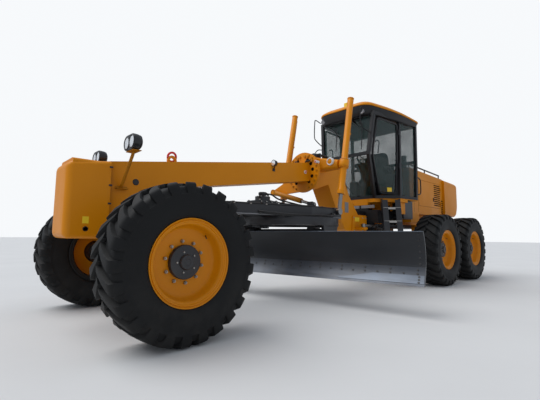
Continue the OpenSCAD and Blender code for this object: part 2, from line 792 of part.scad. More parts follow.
module rear_frame() color([0.85, 0.52, 0.08]) placed() {
    both() {
        block([bumper_x + bite, rail_in, rail_low], [web_x, rail_out, rail_top]);
        // Anchor of a hinge cylinder, with its pin
        block([anchor_x - 60, rail_in, rail_low - 12], [anchor_x + 60, anchor_y + 60, rail_low + 22]);
        rod_z(ear_pin_r, hinge_cyl_z - 34, rail_low, anchor_x, anchor_y);
        // Deck beside the engine and the box under its front end
        block([hood_back_x, rail_out - bite, rail_top - deck_t], [hood_front_x - 10, hood_half, rail_top]);
        block([hood_front_x - 400, rail_out - bite, 1190], [hood_front_x - 10, hood_half, rail_top - bite]);
        // Posts and outer leg under the cab
        block([-4980, rail_in, rail_top - bite], [-4860, rail_out, base_z - bite]);
        block([-5380, rail_in, rail_top - bite], [-5300, rail_out, base_z - bite]);
        block([-5060, 610, 1330], [-4880, 640, base_z - bite]);
        block([-5060, rail_out - bite, 1330], [-4880, 640, 1370]);
    }
    // Front web with the two feet of the hinge
    block([web_x - 100, -web_half, web_low], [web_x, web_half, rail_top]);
    block([web_x - 100, -rail_out, rail_low], [web_x, rail_out, rail_top]);
    block([web_x - 60, -160, rail_top - bite], [web_x, 160, base_z - bite]);
    for (z = [web_low, foot_top + gap]) {
        block([web_x - bite, -foot_r, z], [hinge_x, foot_r, z + foot_low - gap - web_low]);
        rod_z(foot_r, z, z + foot_low - gap - web_low, hinge_x);
    }
    rod_z(hinge_r, web_low + bite, foot_top + gap + bite, hinge_x);
    for (x = cross_x)
        block([x, -rail_in - bite, rail_low], [x + cross_l, rail_in + bite, rail_top - 60]);
    block([bumper_x, -460, 1080], [bumper_x + 70, 460, rail_top]);
    difference() {
        block([tail_x, -90, tow_z - tow_t / 2], [bumper_x + bite, 90, tow_z + tow_t / 2]);
        rod_z(tow_bore_r, tow_z - tow_t, tow_z + tow_t, tail_x + 60);
    }
    cab_base();
}

// Base under the cab: a rim that follows the cab's floor, deep in front of the outer legs
module cab_base() {
    translate([0, 0, base_z - base_t])
        linear_extrude(base_t)
            base_rim();
    intersection() {
        translate([0, 0, base_z - base_h])
            linear_extrude(base_h)
                base_rim();
        block([-5060, -1000, 0], [-4000, 1000, 2000]);
    }
    block([-4980, -640, base_z - base_h], [-4880, 640, base_z]);
}
module base_rim() difference() {
    polygon(floor_outline(base_out));
    polygon(floor_outline(base_out - base_rim_w));
}

case_low = 480;
case_top = 840;
case_end = 190;

module tandem_axle() color([0.8, 0.49, 0.08]) placed() {
    rod_y(150, -case_in - bite, case_in + bite, rear_x, wheel_z);
    translate([rear_x, 0, wheel_z]) sphere(r = 230);
    both() {
        across(0, [
            [mid_wheel_x + case_end, case_low + 60], [mid_wheel_x + case_end, case_top - 60],
            [mid_wheel_x + 100, case_top], [last_wheel_x - 100, case_top],
            [last_wheel_x - case_end, case_top - 60], [last_wheel_x - case_end, case_low + 60],
            [last_wheel_x - 100, case_low], [mid_wheel_x + 100, case_low]
        ], case_in, case_in + case_w);
        for (x = [mid_wheel_x, last_wheel_x])
            rod_y(spindle_r, case_in + 10, track_half + bore_end_y - gap, x, wheel_z);
        block([rear_x - 110, rail_in, wheel_z], [rear_x + 110, rail_out, rail_low - seat]);
    }
}

engine_front_x = -5760;
engine_back_x = -6940;
engine_low = 1080;
engine_top = 2050;

module engine_block() color([0.3, 0.3, 0.3]) placed()
    block([engine_back_x, -rail_in + seat, engine_low], [engine_front_x, rail_in - seat, engine_top]);

// Hood

hood_top_front = 2330;
hood_top_back = 2270;
hood_low = rail_top + seat;
door_front_x = -5900;
door_back_x = -7080;
door_low = 1560;
door_top = 2130;

function hood_z(x) = hood_top_front
    + (hood_top_back - hood_top_front) * (hood_front_x - x) / (hood_front_x - hood_back_x);

module hood_body(half, front, back, drop)
    across(half, [
        [front, hood_low], [front, hood_z(front) - drop],
        [back, hood_z(back) - drop], [back, hood_low]
    ]);

module hood() color([0.85, 0.52, 0.08]) placed() {
    difference() {
        hood_body(hood_half, hood_front_x, hood_back_x, 0);
        hood_body(hood_half - hood_t, hood_front_x - hood_t, hood_back_x + hood_t, hood_t);
        block([hood_back_x + hood_t, -hood_half + hood_t, rail_top - bite],
              [hood_front_x - hood_t, hood_half - hood_t, rail_top + hood_t]);
        block([door_back_x, -hood_half - 10, door_low], [door_front_x, hood_half + 10, door_top]);
    }
    both()
        for (z = hood_hinge_z) {
            rod_z(fixed_r - 1, z - fixed_h, z - seat, hood_hinge.x, hood_hinge.y);
            block([hood_hinge.x - 20, hood_half + 2, z - fixed_h + 1],
                  [hood_hinge.x, hood_hinge.y + fixed_r - 2, z - seat - 1]);
            block([door_back_x - 30, hood_half - bite, z - fixed_h + 1],
                  [hood_hinge.x - 18, hood_hinge.y + fixed_r - 2, z - seat - 1]);
        }
}

// Louvres pressed into the rear of a service door
louvre_front_x = -6700;
louvre_back_x = door_back_x + 40;
louvre_low = door_low + 50;
louvre_step = 46;
louvre_h = 24;
louvre_deep = 9;

module hood_door(side) color([0.85, 0.52, 0.08]) placed() sides(side) {
    difference() {
        block([door_back_x + gap, hood_half - hood_t, door_low + gap],
              [door_front_x - gap, hood_half, door_top - gap]);
        for (z = [louvre_low:louvre_step:door_top - louvre_step])
            block([louvre_back_x, hood_half - louvre_deep, z], [louvre_front_x, hood_half + bite, z + louvre_h]);
    }
    for (z = hood_hinge_z)
        rod_z(knuckle_r, z, z + knuckle_h, hood_hinge.x, hood_hinge.y);
}

slat_low = 1740;
slat_high = 2110;
slat_step = 60;
slat_t = 22;
slat_deep = 70;
guard_wall = 30;

module radiator_guard() color([0.85, 0.52, 0.08]) placed() {
    difference() {
        across(guard_half, [
            [hood_back_x - seat, rail_top + seat], [hood_back_x - seat, 2260], [tail_x + 90, 2230],
            [tail_x, 2150], [tail_x, 1700], [tail_x + 150, rail_top + seat]
        ]);
        block([tail_x - bite, -guard_half + guard_wall, slat_low], [tail_x + slat_deep, guard_half - guard_wall, slat_high]);
    }
    for (z = [slat_low + slat_step - slat_t:slat_step:slat_high - slat_t])
        block([tail_x + 12, -guard_half + guard_wall - bite, z],
              [tail_x + slat_deep + bite, guard_half - guard_wall + bite, z + slat_t]);
}

// Exhaust stack and air intake, standing on the sloping hood: X, Y, radius, height
stacks = [[-6250, -250, 70, 290], [-5850, 260, 60, 350]];

module exhaust() color([0.2, 0.2, 0.2]) placed()
    for (t = stacks) {
        low = hood_z(t[0] + t[2]) + seat;
        rod_z(t[2], low, low + t[3], t[0], t[1]);
    }

// Cab: rows of the table are level height and the corner X and Y at front, middle and rear

cab_levels = [
    // height, front X, front Y, middle X, middle Y, rear X, rear Y
    [1650, -4535, 289, -4850, 640, -5370, 720],
    [2390, -3990, 500, -4850, 650, -5370, 735],
    [3130, -4060, 575, -4850, 655, -5370, 740]
];
base_z = cab_levels[0][0] - post_t / 2 - seat;
base_t = 15;
base_h = 70;
base_out = post_t / 2 - 4;
base_rim_w = 60;

// Shift of the floor's front, middle and rear corner for each millimetre that its outline grows
floor_grow = [[1, 0.383], [0.505, 0.934], [-1, 1.166]];
function floor_pt(c, side, out) = [
    cab_levels[0][1 + 2 * c] + out * floor_grow[c].x,
    side * (cab_levels[0][2 + 2 * c] + out * floor_grow[c].y)
];
function floor_outline(out) = concat(
    [for (c = [0, 1, 2]) floor_pt(c, 1, out)], [for (c = [2, 1, 0]) floor_pt(c, -1, out)]
);

function cab_pt(level, corner, side) = [
    cab_levels[level][1 + 2 * corner],
    side * cab_levels[level][2 + 2 * corner],
    cab_levels[level][0]
];

floor_t = 40;

module knob(p, t) translate(p) cube([t, t, t], center = true);
module strut(a, b, t) hull() { knob(a, t); knob(b, t); }

module cab_frame() color([0.1, 0.1, 0.11]) placed() {
    for (s = [-1, 1]) {
        for (k = [0, 1])
            for (c = [0, 1, 2])
                strut(cab_pt(k, c, s), cab_pt(k + 1, c, s), post_t);
        for (k = [0, 2])
            for (c = [0, 1])
                strut(cab_pt(k, c, s), cab_pt(k, c + 1, s), post_t);
    }
    for (k = [0, 1, 2])
        for (c = [0, 2])
            strut(cab_pt(k, c, -1), cab_pt(k, c, 1), post_t);
    translate([0, 0, cab_levels[0][0] - post_t / 2])
        linear_extrude(floor_t)
            polygon(floor_outline(0));
    both()
        for (z = cab_hinge_z) {
            rod_z(fixed_r, z - fixed_h, z - seat, cab_hinge.x, cab_hinge.y);
            block([cab_hinge.x - 60, cab_hinge.y - fixed_r + 1, z - fixed_h + 1],
                  [cab_hinge.x, cab_hinge.y + fixed_r - 1, z - seat - 1]);
        }
}

roof_z = cab_levels[2][0] + post_t / 2 + seat;

roof_wall = 40;
// X, Y, height above the cab and radius at the roof's corners and on its crown
roof_points = [
    [-3960, 460, 0, 90], [-4700, 680, 0, 90], [-5390, 730, 0, 80],
    [-4300, 330, 180, 60], [-5150, 500, 170, 60]
];

module roof_shell(shrink)
    hull()
        for (p = roof_points, s = [-1, 1])
            translate([p[0], s * p[1], roof_z + p[2] - shrink])
                cylinder(r = p[3] - shrink, h = 60, $fn = 32);

module cab_roof() color([0.85, 0.52, 0.08]) placed() difference() {
    roof_shell(0);
    roof_shell(roof_wall);
}

// A flat pane with lower corners a, b and upper corners d, c, drawn in from its posts
function step_to(a, b, t) = t * (b - a) / norm(b - a);
module pane(a, b, c, d, side_in, end_in)
    hull()
        for (p = [
            a + step_to(a, b, side_in) + step_to(a, d, end_in),
            b + step_to(b, a, side_in) + step_to(b, c, end_in),
            c + step_to(c, d, side_in) + step_to(c, b, end_in),
            d + step_to(d, c, side_in) + step_to(d, a, end_in)
        ])
            translate(p) cube([pane_t, pane_t, pane_t], center = true);

module cab_glass() color([0.3, 0.4, 0.38, 0.4]) placed() {
    // Clear of a post, seen square to it and along a slanted pane
    square_in = (post_t + pane_t) * 0.6 + 2;
    slant_in = square_in + 9;
    for (k = [0, 1])
        for (c = [0, 2]) {
            in = k == 0 && c == 0 ? slant_in : square_in;
            pane(cab_pt(k, c, -1), cab_pt(k, c, 1), cab_pt(k + 1, c, 1), cab_pt(k + 1, c, -1), in, in);
        }
    for (s = [-1, 1])
        pane(cab_pt(0, 1, s), cab_pt(0, 2, s), cab_pt(2, 2, s), cab_pt(2, 1, s), square_in, square_in);
}

// Door corners, inset from the posts that frame it, more at the slanted front post
door_in = post_t + door_gap + 10;
door_front_in = door_in + 22;
door_t = 40;
function door_pt(level, corner) = let(
    f = cab_pt(level, 0, 1), m = cab_pt(level, 1, 1),
    v = (m - f) / norm(m - f), up = level == 0 ? door_in : level == 2 ? -door_in : 0
) (corner == 0 ? f + v * door_front_in : m - v * door_in) + [0, 0, up];

// A square beam between two points
module beam(a, b, t) {
    v = b - a;
    len = norm(v);
    translate(a)
        rotate([0, acos(v.z / len), atan2(v.y, v.x)])
            translate([-t / 2, -t / 2, 0])
                cube([t, t, len]);
}

module leaf(points) hull() for (p = points) knob(p, pane_t);

// Door hinges: a knuckle of the door stands on a shorter one of its frame
knuckle_r = 12;
knuckle_h = 70;
fixed_r = 8;
fixed_h = 30;
cab_hinge = [-4790, 678];
cab_hinge_z = [2230, 2880];
hood_hinge = [door_back_x + gap + 16, hood_half + 8];
hood_hinge_z = [1640, 1980];

module cab_door(side) color([0.1, 0.1, 0.11]) placed() sides(side) {
    for (k = [0, 1])
        for (c = [0, 1])
            strut(door_pt(k, c), door_pt(k + 1, c), door_t);
    for (k = [0, 2])
        beam(door_pt(k, 0), door_pt(k, 1), door_t - 1);
    for (z = cab_hinge_z) {
        rod_z(knuckle_r, z, z + knuckle_h, cab_hinge.x, cab_hinge.y);
        block([cab_hinge.x - 8, cab_hinge.y - 43, z + 1], [cab_hinge.x + 8, cab_hinge.y, z + knuckle_h - 1]);
    }
    // The lower pane folds along its diagonal, because its corners aren't in one plane
    leaf([door_pt(0, 0), door_pt(0, 1), door_pt(1, 0)]);
    leaf([door_pt(0, 1), door_pt(1, 1), door_pt(1, 0)]);
    pane(door_pt(1, 0), door_pt(1, 1), door_pt(2, 1), door_pt(2, 0), 10, 10);
}

floor_z = cab_levels[0][0] - post_t / 2 + floor_t;

seat_x = -5000;
seat_h = 270;
seat_half = 240;
cushion_t = 140;
back_h = 620;
column_x = -4685;
console_h = 600;

module cab_interior() color([0.15, 0.15, 0.16]) placed() {
    block([seat_x - 120, -90, floor_z + seat], [seat_x + 40, 90, floor_z + seat_h + bite]);
    translate([0, 0, floor_z + seat_h]) {
        block([seat_x - 240, -seat_half, 0], [seat_x + 240, seat_half, cushion_t]);
        block([seat_x - 300, 20 - seat_half, cushion_t - bite], [seat_x - 180, seat_half - 20, cushion_t + back_h]);
    }
    block([column_x - 35, -60, floor_z + seat], [column_x + 35, 60, floor_z + console_h + bite]);
    block([column_x - 45, -170, floor_z + console_h], [column_x + 85, 170, floor_z + console_h + 80]);
}

// Ladder below each door: local X runs forwards along the door's sill, local Y outwards
sill_front = floor_pt(0, 1, 0);
sill_back = floor_pt(1, 1, 0);
sill_angle = atan2(sill_front.y - sill_back.y, sill_front.x - sill_back.x);
ladder_front = 120;
ladder_back = -200;
ladder_t = 12;
ladder_top = base_z - 20;
ladder_low = 620;
ladder_in = base_out + seat;
ladder_deep = 130;
ladder_lean = 240;
rung_z = [650, 900, 1150, 1400];
rung_t = 30;
function ladder_y(z) = ladder_in + ladder_lean * (ladder_top - z) / (ladder_top - ladder_low);

module ladder()
    translate([(sill_front.x + sill_back.x) / 2, (sill_front.y + sill_back.y) / 2, 0])
        rotate([0, 0, sill_angle]) {
            for (x = [ladder_back, ladder_front])
                along(x, x + ladder_t, [
                    [ladder_in, ladder_top], [ladder_y(ladder_low), ladder_low],
                    [ladder_y(ladder_low) + ladder_deep, ladder_low], [ladder_in + ladder_deep, ladder_top]
                ]);
            for (z = rung_z)
                block([ladder_back + bite, ladder_y(z) + 20, z],
                      [ladder_front + bite, ladder_y(z) + ladder_deep - 10, z + rung_t]);
        }

// Battery box behind the cab's outer leg, and a rail along the hood's edge
box_front_x = -5070;
box_back_x = hood_front_x + 12;
rail_r = 16;
rail_y = 500;
rail_over = 90;

module steps_and_rails() color([0.12, 0.1, 0.1]) placed() both() {
    ladder();
    block([box_back_x, rail_out + seat, 1250], [box_front_x, 600, base_z - base_t - seat]);
    bar([hood_front_x - 60, rail_y, hood_z(hood_front_x - 60) + rail_over],
        [hood_back_x + 60, rail_y, hood_z(hood_back_x + 60) + rail_over], rail_r);
    for (x = [hood_front_x - 80, (hood_front_x + hood_back_x) / 2, hood_back_x + 80])
        rod_z(rail_r - 3, hood_z(x + rail_r) + seat, hood_z(x) + rail_over, x, rail_y);
}

front_frame();
nose_cover();
headlamps();
front_axle();
lean_bar();
tie_rod();
lean_carrier(1);  // lean_carrier_l
lean_carrier(-1);  // lean_carrier_r
knuckle(1);  // knuckle_l
knuckle(-1);  // knuckle_r
tyre(0, 1);  // tyre_fl
tyre(0, -1);  // tyre_fr
tyre(1, 1);  // tyre_ml
tyre(1, -1);  // tyre_mr
tyre(2, 1);  // tyre_rl
tyre(2, -1);  // tyre_rr
rim(0, 1);  // rim_fl
rim(0, -1);  // rim_fr
rim(1, 1);  // rim_ml
rim(1, -1);  // rim_mr
rim(2, 1);  // rim_rl
rim(2, -1);  // rim_rr
lift_barrel(1);  // lift_barrel_l
lift_barrel(-1);  // lift_barrel_r
lift_rod(1);  // lift_rod_l
lift_rod(-1);  // lift_rod_r
drawbar();
shift_barrel();
shift_rod();
blade_circle();  // circle
blade_carriage();
moldboard();
cutting_edge();
tip_barrel();
tip_rod();
hinge_barrel(1);  // hinge_barrel_l
hinge_barrel(-1);  // hinge_barrel_r
hinge_rod(1);  // hinge_rod_l
hinge_rod(-1);  // hinge_rod_r
rear_frame();
tandem_axle();
engine_block();
hood();
hood_door(1);  // hood_door_l
hood_door(-1);  // hood_door_r
radiator_guard();
exhaust();
cab_frame();
cab_roof();
cab_glass();
cab_door(1);  // cab_door_l
cab_door(-1);  // cab_door_r
cab_interior();
steps_and_rails();
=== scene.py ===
"""Looks of an articulated motor grader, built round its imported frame.

Sizes are metres. Places are written from the front axle, X forwards, Y to the left and Z up,
and Shape moves them by FRONT_AXLE_X, where the frame has that axle.
"""

import json
import logging
import math
from dataclasses import dataclass, field
from enum import Enum

import bmesh
import bpy
import numpy as np
from mathutils import Matrix

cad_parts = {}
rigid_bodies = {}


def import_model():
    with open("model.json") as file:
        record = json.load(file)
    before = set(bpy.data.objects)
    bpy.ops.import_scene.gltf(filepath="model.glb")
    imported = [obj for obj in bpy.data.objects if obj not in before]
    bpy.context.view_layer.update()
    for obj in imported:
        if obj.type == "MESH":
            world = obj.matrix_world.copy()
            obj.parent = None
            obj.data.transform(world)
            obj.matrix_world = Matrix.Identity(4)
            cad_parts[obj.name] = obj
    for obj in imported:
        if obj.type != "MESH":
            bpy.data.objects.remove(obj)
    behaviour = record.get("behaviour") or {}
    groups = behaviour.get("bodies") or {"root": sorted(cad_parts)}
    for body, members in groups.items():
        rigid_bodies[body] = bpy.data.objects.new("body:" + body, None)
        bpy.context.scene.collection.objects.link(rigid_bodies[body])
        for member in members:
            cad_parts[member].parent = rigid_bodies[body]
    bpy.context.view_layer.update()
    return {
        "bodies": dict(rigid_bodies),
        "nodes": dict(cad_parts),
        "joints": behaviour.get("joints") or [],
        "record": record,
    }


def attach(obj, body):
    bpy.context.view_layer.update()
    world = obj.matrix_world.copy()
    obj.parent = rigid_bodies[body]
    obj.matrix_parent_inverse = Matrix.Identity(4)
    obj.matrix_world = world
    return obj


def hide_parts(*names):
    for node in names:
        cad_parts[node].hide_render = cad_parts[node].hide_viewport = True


FRONT_AXLE_X = 3.675
log = logging.getLogger("grader")
Array = np.ndarray


class Axis(Enum):
    """The way that a turned or carried shape points."""

    X = 0
    Y = 1
    Z = 2


# Node trees


class Nodes:
    """Short calls for making the nodes of one tree."""

    def __init__(self, tree: bpy.types.NodeTree) -> None:
        """Keeps the tree.

        Args:
            tree: The material's or group's node tree.
        """
        self.tree = tree

    def add(self, kind: str, **values: object) -> bpy.types.Node:
        """Makes a node and sets its properties and sockets.

        Args:
            kind: The node's type without the words ShaderNode.
            values: Properties by their name, and sockets by their name with underscores.

        Returns:
            The node.
        """
        node = self.tree.nodes.new("ShaderNode" + kind)
        for key, value in values.items():
            if hasattr(node, key):
                setattr(node, key, value)
            else:
                self.feed(node.inputs[key.replace("_", " ")], value)
        return node

    def feed(self, socket: bpy.types.NodeSocket, value: object) -> None:
        """Links an output to the socket, or sets the socket's own value.

        Args:
            socket: The input socket.
            value: An output, or a plain value.
        """
        if isinstance(value, bpy.types.NodeSocket):
            self.tree.links.new(value, socket)
        else:
            socket.default_value = value

    def math(self, operation: str, a: object, b: object = 0.0, clamp: bool = False) -> bpy.types.NodeSocket:
        """Puts in a math node.

        Args:
            operation: Blender's name of the operation.
            a: First value or output.
            b: Second value or output.
            clamp: Whether the result is held between 0 and 1.

        Returns:
            The node's output.
        """
        node = self.add("Math", operation=operation, use_clamp=clamp)
        self.feed(node.inputs[0], a)
        self.feed(node.inputs[1], b)
        return node.outputs[0]

    def span(self, value: object, low: float, high: float, to_low: float = 0.0,
             to_high: float = 1.0) -> bpy.types.NodeSocket:
        """Maps a range of a value onto another range, held at its ends.

        Args:
            value: The value or output.
            low: Start of its range.
            high: End of its range.
            to_low: What the start becomes.
            to_high: What the end becomes.

        Returns:
            The node's output.
        """
        node = self.add("MapRange", interpolation_type="SMOOTHSTEP")
        for name, v in zip(("Value", "From Min", "From Max", "To Min", "To Max"), (value, low, high, to_low, to_high)):
            self.feed(node.inputs[name], v)
        return node.outputs["Result"]

    def mix(self, factor: object, a: object, b: object) -> bpy.types.NodeSocket:
        """Mixes colour b over colour a by the factor.

        Args:
            factor: Share of colour b.
            a: A colour or output.
            b: A colour or output.

        Returns:
            The node's output.
        """
        node = self.add("Mix", data_type="RGBA")
        self.feed(node.inputs["Factor"], factor)
        self.feed(node.inputs[6], a)
        self.feed(node.inputs[7], b)
        return node.outputs[2]

    def noise(self, scale: object, detail: float = 3.0, stretch: tuple = (1, 1, 1),
              turn: tuple = (0, 0, 0)) -> bpy.types.NodeSocket:
        """Noise on the object's own coordinates.

        Args:
            scale: Waves for each metre.
            detail: Octaves.
            stretch: Scale along each axis.
            turn: Turn about each axis in radians.

        Returns:
            The noise's value, about 0.5 in the middle.
        """
        place = self.add("Mapping", Vector=self.add("TexCoord").outputs["Object"], Scale=stretch, Rotation=turn)
        return self.add("TexNoise", Vector=place.outputs[0], Scale=scale, Detail=detail).outputs["Fac"]


def new_group(name: str, inputs: dict[str, object], outputs: dict[str, str]) -> tuple[Nodes, dict, dict]:
    """Starts a shader node group.

    Args:
        name: The group's name.
        inputs: Each input's default, a number or a colour of four numbers.
        outputs: Each output's kind, such as Color, Float or Vector.

    Returns:
        The group's nodes, its inputs as outputs of the inner node, and the inner node's sockets to feed.
    """
    tree = bpy.data.node_groups.new(name, "ShaderNodeTree")
    for key, value in inputs.items():
        kind = "NodeSocketColor" if isinstance(value, tuple) else "NodeSocketFloat"
        tree.interface.new_socket(key, in_out="INPUT", socket_type=kind).default_value = value
    for key, kind in outputs.items():
        tree.interface.new_socket(key, in_out="OUTPUT", socket_type="NodeSocket" + kind)
    start = tree.nodes.new("NodeGroupInput")
    end = tree.nodes.new("NodeGroupOutput")
    return Nodes(tree), {k: start.outputs[k] for k in inputs}, {k: end.inputs[k] for k in outputs}


def mottle_group() -> bpy.types.NodeTree:
    """Slow change of a colour over a surface: broad noise times small noise darkens and lightens it.

    Returns:
        The group, with a colour and a value for roughness.
    """
    n, given, out = new_group(
        "mottle",
        {"Color": (0.5, 0.5, 0.5, 1.0), "Deep": (0.3, 0.3, 0.3, 1.0), "Scale": 2.0, "Amount": 0.3, "Roughness": 0.4,
         "Grain": 60.0},
        {"Color": "Color", "Roughness": "Float"},
    )
    broad = n.span(n.noise(given["Scale"], 4), 0.35, 0.68)
    small = n.noise(given["Grain"], 2)
    share = n.math("MULTIPLY", n.math("MULTIPLY", broad, n.span(small, 0.2, 0.9, 0.6, 1.0)), given["Amount"],
                   clamp=True)
    n.feed(out["Color"], n.mix(share, given["Color"], given["Deep"]))
    n.feed(out["Roughness"], n.math("ADD", given["Roughness"], n.span(broad, 0, 1, -0.04, 0.08)))
    return n.tree


def dust_group() -> bpy.types.NodeTree:
    """Dust from the road: most near the ground and on faces that look upwards, broken up by noise.

    Returns:
        The group, with a colour and a roughness.
    """
    n, given, out = new_group(
        "road_dust",
        {"Color": (0.5, 0.5, 0.5, 1.0), "Dust": (0.3, 0.27, 0.23, 1.0), "Roughness": 0.4, "Level": 0.8, "Amount": 0.4},
        {"Color": "Color", "Roughness": "Float"},
    )
    place = n.add("SeparateXYZ", Vector=n.add("TexCoord").outputs["Object"])
    upward = n.add("SeparateXYZ", Vector=n.add("NewGeometry").outputs["Normal"]).outputs["Z"]
    low = n.span(n.math("DIVIDE", place.outputs["Z"], given["Level"]), 0.15, 1.0, 1.0, 0.0)
    top = n.span(upward, 0.5, 1.0, 0.0, 0.55)
    cloud = n.span(n.noise(7.0, 5), 0.36, 0.66, 0.25, 1.0)
    mask = n.math("MULTIPLY", n.math("MULTIPLY", n.math("MAXIMUM", low, top), cloud), given["Amount"], clamp=True)
    n.feed(out["Color"], n.mix(mask, given["Color"], given["Dust"]))
    n.feed(out["Roughness"], n.math("ADD", given["Roughness"], n.math("MULTIPLY", mask, 0.45), clamp=True))
    return n.tree


class Grain(Enum):
    """What a surface's fine relief is."""

    PEEL = "peel"
    CAST = "cast"
    RUBBER = "rubber"
    CLOTH = "cloth"
    SMOOTH = "smooth"


# Waves for each metre and the height of each relief, in metres
RELIEF: dict[Grain, tuple[float, float]] = {
    Grain.PEEL: (160.0, 0.0004),
    Grain.CAST: (110.0, 0.0016),
    Grain.RUBBER: (75.0, 0.0012),
    Grain.CLOTH: (240.0, 0.0012),
    Grain.SMOOTH: (30.0, 0.0001),
}


@dataclass(frozen=True)
class Finish:
    """A painted, cast, moulded or bare surface."""

    name: str
    slot: str
    color: tuple[float, float, float]
    deep: tuple[float, float, float]
    roughness: float = 0.4
    metallic: float = 0.0
    coat: float = 0.0
    amount: float = 0.35
    scale: float = 1.6
    grain: Grain = Grain.PEEL
    dust: float = 0.15
    dust_level: float = 0.8
    dust_color: tuple[float, float, float] = (0.30, 0.27, 0.23)
    # Glow painted into the colour, standing in for a glint
    painted_glow: float = 0.0
    specular: float = 0.5

    def build(self, groups: dict[str, bpy.types.NodeTree]) -> bpy.types.Material:
        """Makes the material.

        Args:
            groups: The shared node groups by name.

        Returns:
            The material.
        """
        made = bpy.data.materials.new(self.name)
        made.use_nodes = True
        n = Nodes(made.node_tree)
        shader = made.node_tree.nodes["Principled BSDF"]
        mottle = n.add("Group", node_tree=groups["mottle"], Color=(*self.color, 1), Deep=(*self.deep, 1),
                       Scale=self.scale, Amount=self.amount, Roughness=self.roughness)
        dust = n.add("Group", node_tree=groups["dust"], Color=mottle.outputs["Color"], Dust=(*self.dust_color, 1),
                     Roughness=mottle.outputs["Roughness"], Level=self.dust_level, Amount=self.dust)
        n.feed(shader.inputs["Base Color"], dust.outputs["Color"])
        n.feed(shader.inputs["Roughness"], dust.outputs["Roughness"])
        waves, height = RELIEF[self.grain]
        relief = n.noise(waves, 3)
        n.feed(shader.inputs["Normal"], n.add("Bump", Height=relief, Distance=height, Strength=0.6).outputs[0])
        shader.inputs["Metallic"].default_value = self.metallic
        shader.inputs["Coat Weight"].default_value = self.coat
        shader.inputs["Coat Roughness"].default_value = 0.12
        shader.inputs["Specular IOR Level"].default_value = self.specular
        # Painted glow: the colour shines as if lit, standing in for a glint
        if self.painted_glow:
            shader.inputs["Emission Color"].default_value = (*self.color, 1)
            shader.inputs["Emission Strength"].default_value = self.painted_glow
        return made


@dataclass(frozen=True)
class PaintedShadeBox(Finish):
    """Paint that gives way to painted shade inside a box: a dark colour stands in for the shade that falls there.

    The frame has it between its rails below the cab, and a rim has it on its inner half.
    """

    # Colour of the painted shade
    shade_color: tuple[float, float, float] = (0.016, 0.016, 0.017)
    rear: float = -5.470
    half: float = 0.570
    level: float = 1.490
    blur: float = 0.020

    def build(self, groups: dict[str, bpy.types.NodeTree]) -> bpy.types.Material:
        """Makes the paint and mixes in the painted shade: share = (x over rear) * (|y| under half) * (z under level).

        Args:
            groups: The shared node groups by name.

        Returns:
            The material.
        """
        made = super().build(groups)
        n = Nodes(made.node_tree)
        base = made.node_tree.nodes["Principled BSDF"].inputs["Base Color"]
        place = n.add("SeparateXYZ", Vector=n.add("TexCoord").outputs["Object"])
        rear = self.rear + FRONT_AXLE_X
        ahead = n.span(place.outputs["X"], rear, rear + self.blur, 0, 1)
        inside = n.span(n.math("ABSOLUTE", place.outputs["Y"]), self.half, self.half + self.blur, 1, 0)
        below = n.span(place.outputs["Z"], self.level, self.level + self.blur, 1, 0)
        share = n.math("MULTIPLY", n.math("MULTIPLY", ahead, inside), below)
        # Painted shade: the dark colour is mixed over the paint inside the box
        n.feed(base, n.mix(share, base.links[0].from_socket, (*self.shade_color, 1)))
        return made


@dataclass(frozen=True)
class Pane:
    """Tinted or clear glass, with a little dust on it."""

    name: str
    slot: str
    color: tuple[float, float, float]
    roughness: float = 0.03
    alpha: float = 0.4

    def build(self, groups: dict[str, bpy.types.NodeTree]) -> bpy.types.Material:
        """Makes the material.

        Args:
            groups: The shared node groups by name.

        Returns:
            The material.
        """
        made = bpy.data.materials.new(self.name)
        made.use_nodes = True
        n = Nodes(made.node_tree)
        shader = made.node_tree.nodes["Principled BSDF"]
        deep = tuple(c * 0.6 for c in self.color)
        mottle = n.add("Group", node_tree=groups["mottle"], Color=(*self.color, 1), Deep=(*deep, 1),
                       Scale=1.2, Amount=0.5, Roughness=self.roughness)
        n.feed(shader.inputs["Base Color"], mottle.outputs["Color"])
        n.feed(shader.inputs["Roughness"], n.math("MAXIMUM", mottle.outputs["Roughness"], 0.02))
        n.feed(shader.inputs["Alpha"], n.span(n.noise(3.0, 4), 0.3, 0.7, self.alpha - 0.04, self.alpha + 0.05))
        shader.inputs["IOR"].default_value = 1.5
        shader.inputs["Specular IOR Level"].default_value = 0.8
        return made


